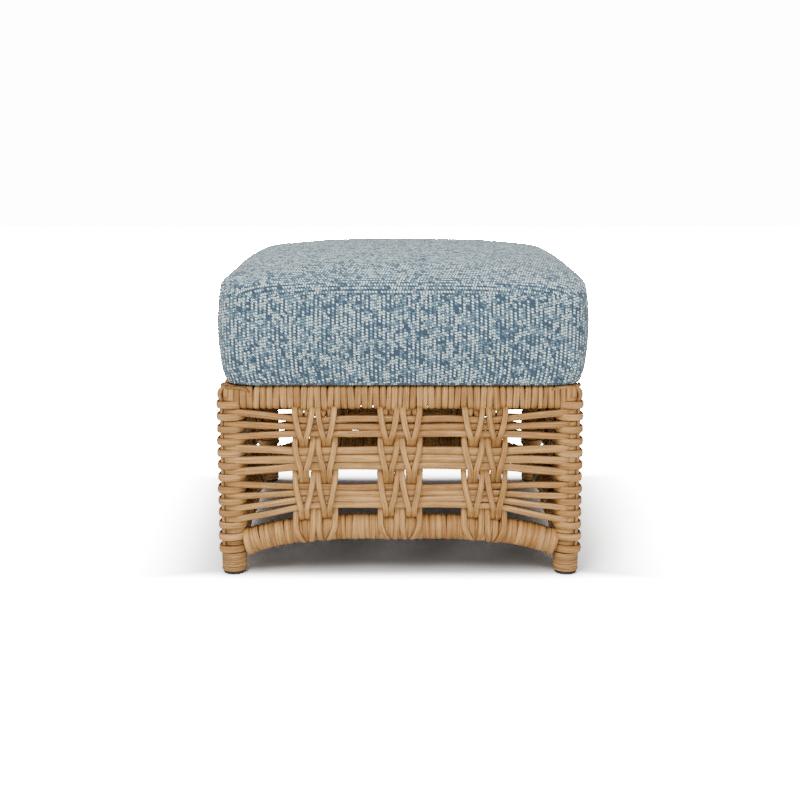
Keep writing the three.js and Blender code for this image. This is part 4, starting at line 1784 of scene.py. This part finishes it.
@dataclass
class Studio:
    """A pale floor with a painted shadow under the footstool, soft light and the camera at the photograph's place.
    """

    eye: Place = (0.0, -2.092, 0.667)
    lens: float = 55.8
    pitch: float = 8.5
    shift: float = -0.1
    sky_light: float = 0.22
    sky_seen: float = 14.0
    floor_seen: float = 14.0
    floor_light: float = 0.62
    # Painted shadow on the floor: how dark it gets under the footstool and where it fades, then the fainter painted
    # shadow round it.
    painted_shadow_share: float = 0.27
    painted_shadow_edge: Span = (0.18, 0.3)
    side_shadow_share: float = 0.12
    side_shadow_edge: Span = (0.28, 0.5)
    side_shadow_end: Span = (3.67, -0.637)
    floor_size: float = 14
    floor_cuts: int = 8
    aim: Place = (0.0, 0.0, 0.25)
    lights: tuple[tuple[str, Place, float, float], ...] = (
        ("key", (-0.7, -1.8, 2.3), 1.0, 58), ("fill", (0.9, -2.6, 0.9), 1.8, 26),
        ("low", (0.1, -1.7, 0.17), 0.3, 6.0), ("left", (-1.5, -0.7, 0.16), 0.3, 4.0),
        ("right", (1.5, -0.7, 0.16), 0.3, 3.0), ("top", (0.0, 0.15, 2.8), 2.4, 92))

    def build(self) -> None:
        """Sets the studio up."""
        self.floor()
        for light in self.lights:
            self.light(*light)
        world = bpy.data.worlds.new("studio")
        bpy.context.scene.world = world
        world.use_nodes = True
        desk = NodeDesk(world.node_tree)
        sky = desk.nodes["Background"]
        sky.inputs["Color"].default_value = (1.0, 1.0, 1.0, 1.0)
        seen = desk.add("ShaderNodeLightPath").outputs["Is Camera Ray"]
        desk.feed(sky.inputs["Strength"], desk.spread(seen, self.sky_light, self.sky_seen))
        self.camera()

    def floor(self) -> None:
        """Lays the floor: a wide flat sheet."""
        deselect_all()
        bpy.ops.mesh.primitive_plane_add(size=self.floor_size, location=(0, 0, 0))
        floor = bpy.context.object
        floor.name = "studio_floor"
        with editing():
            bpy.ops.mesh.subdivide(number_cuts=self.floor_cuts)
        material = bpy.data.materials.new("pale_floor")
        material.use_nodes = True
        desk = NodeDesk(material.node_tree)
        desk.nodes.remove(desk.nodes["Principled BSDF"])
        paper = desk.add("ShaderNodeBsdfDiffuse")
        seen = desk.add("ShaderNodeLightPath").outputs["Is Camera Ray"]
        dull = (self.floor_light, self.floor_light, self.floor_light, 1.0)
        # The camera sees the floor white with a painted shadow; light bouncing off the floor sees its plain pale
        # colour.
        desk.feed(paper.inputs["Color"], desk.blend(seen, dull, self.seen_floor(desk)))
        desk.feed(desk.nodes["Material Output"].inputs["Surface"], paper.outputs[0])
        dress(floor, material)

    def seen_floor(self, desk: NodeDesk) -> Socket:
        """Gives how bright the camera sees the floor: white, with a painted shadow that is deep under the footstool
        and a fainter painted shadow round it.

        Args:
            desk: where the nodes are placed.
        Returns:
            The brightness.
        """
        place = desk.add("ShaderNodeTexCoord").outputs["Object"]
        x, y = (desk.math("ABSOLUTE", part) for part in desk.split(place)[:2])
        # Painted shadow: the floor darkens towards the footstool's middle, and a fainter painted shadow spreads
        # round it.
        clear = desk.step(desk.math("MAXIMUM", x, y), *self.painted_shadow_edge)
        clear = desk.spread(desk.times(clear, clear), self.painted_shadow_share, 1.0)
        ahead = desk.math("MULTIPLY_ADD", y, *self.side_shadow_end)
        beside = desk.step(desk.math("MAXIMUM", x, ahead), *self.side_shadow_edge)
        clear = desk.times(clear, desk.spread(beside, self.side_shadow_share, 1.0))
        radius = desk.plus(desk.times(x, x), desk.times(y, y))
        gain = desk.plus(desk.times(radius, radius), 1.0)
        return desk.times(desk.times(gain, clear), self.floor_seen)

    def light(self, name: str, place: Place, size: float, power: float) -> None:
        """Hangs a soft square light that faces the footstool.

        Args:
            name: the light's name.
            place: where it hangs.
            size: its side.
            power: its power in watts.
        """
        lamp = bpy.data.lights.new(name, "AREA")
        lamp.size = size
        lamp.energy = power
        aim = Vector(self.aim) - Vector(place)
        self.hung(name, lamp, place, aim.to_track_quat("-Z", "Y").to_euler())

    def hung(self, name: str, held: bpy.types.ID, place: Place, turn: Sequence[float]) -> Piece:
        """Places a light or a camera in the scene.

        Args:
            name: its name.
            held: the light or the camera.
            place: where it is.
            turn: how it is turned, in radians.
        Returns:
            The object that holds it.
        """
        holder = bpy.data.objects.new(name, held)
        holder.location = place
        holder.rotation_euler = turn
        bpy.context.scene.collection.objects.link(holder)
        return holder

    def camera(self) -> None:
        """Sets the camera up."""
        lens = bpy.data.cameras.new("photo_camera")
        lens.lens = self.lens
        lens.sensor_width = 36
        lens.shift_y = self.shift
        turn = (math.radians(90 - self.pitch), 0, 0)
        bpy.context.scene.camera = self.hung("photo_camera", lens, self.eye, turn)


def main() -> None:
    """Builds the footstool's looks and the studio round it."""
    logging.basicConfig(level=logging.INFO, format="%(name)s: %(message)s")
    paint = Paintbox.filled()
    WickerFrame(FrameSizes(), paint).build()
    BoxCushion(paint).build()
    ZipFastener(paint).build()
    Studio().build()


if __name__ == "__main__":
    main()
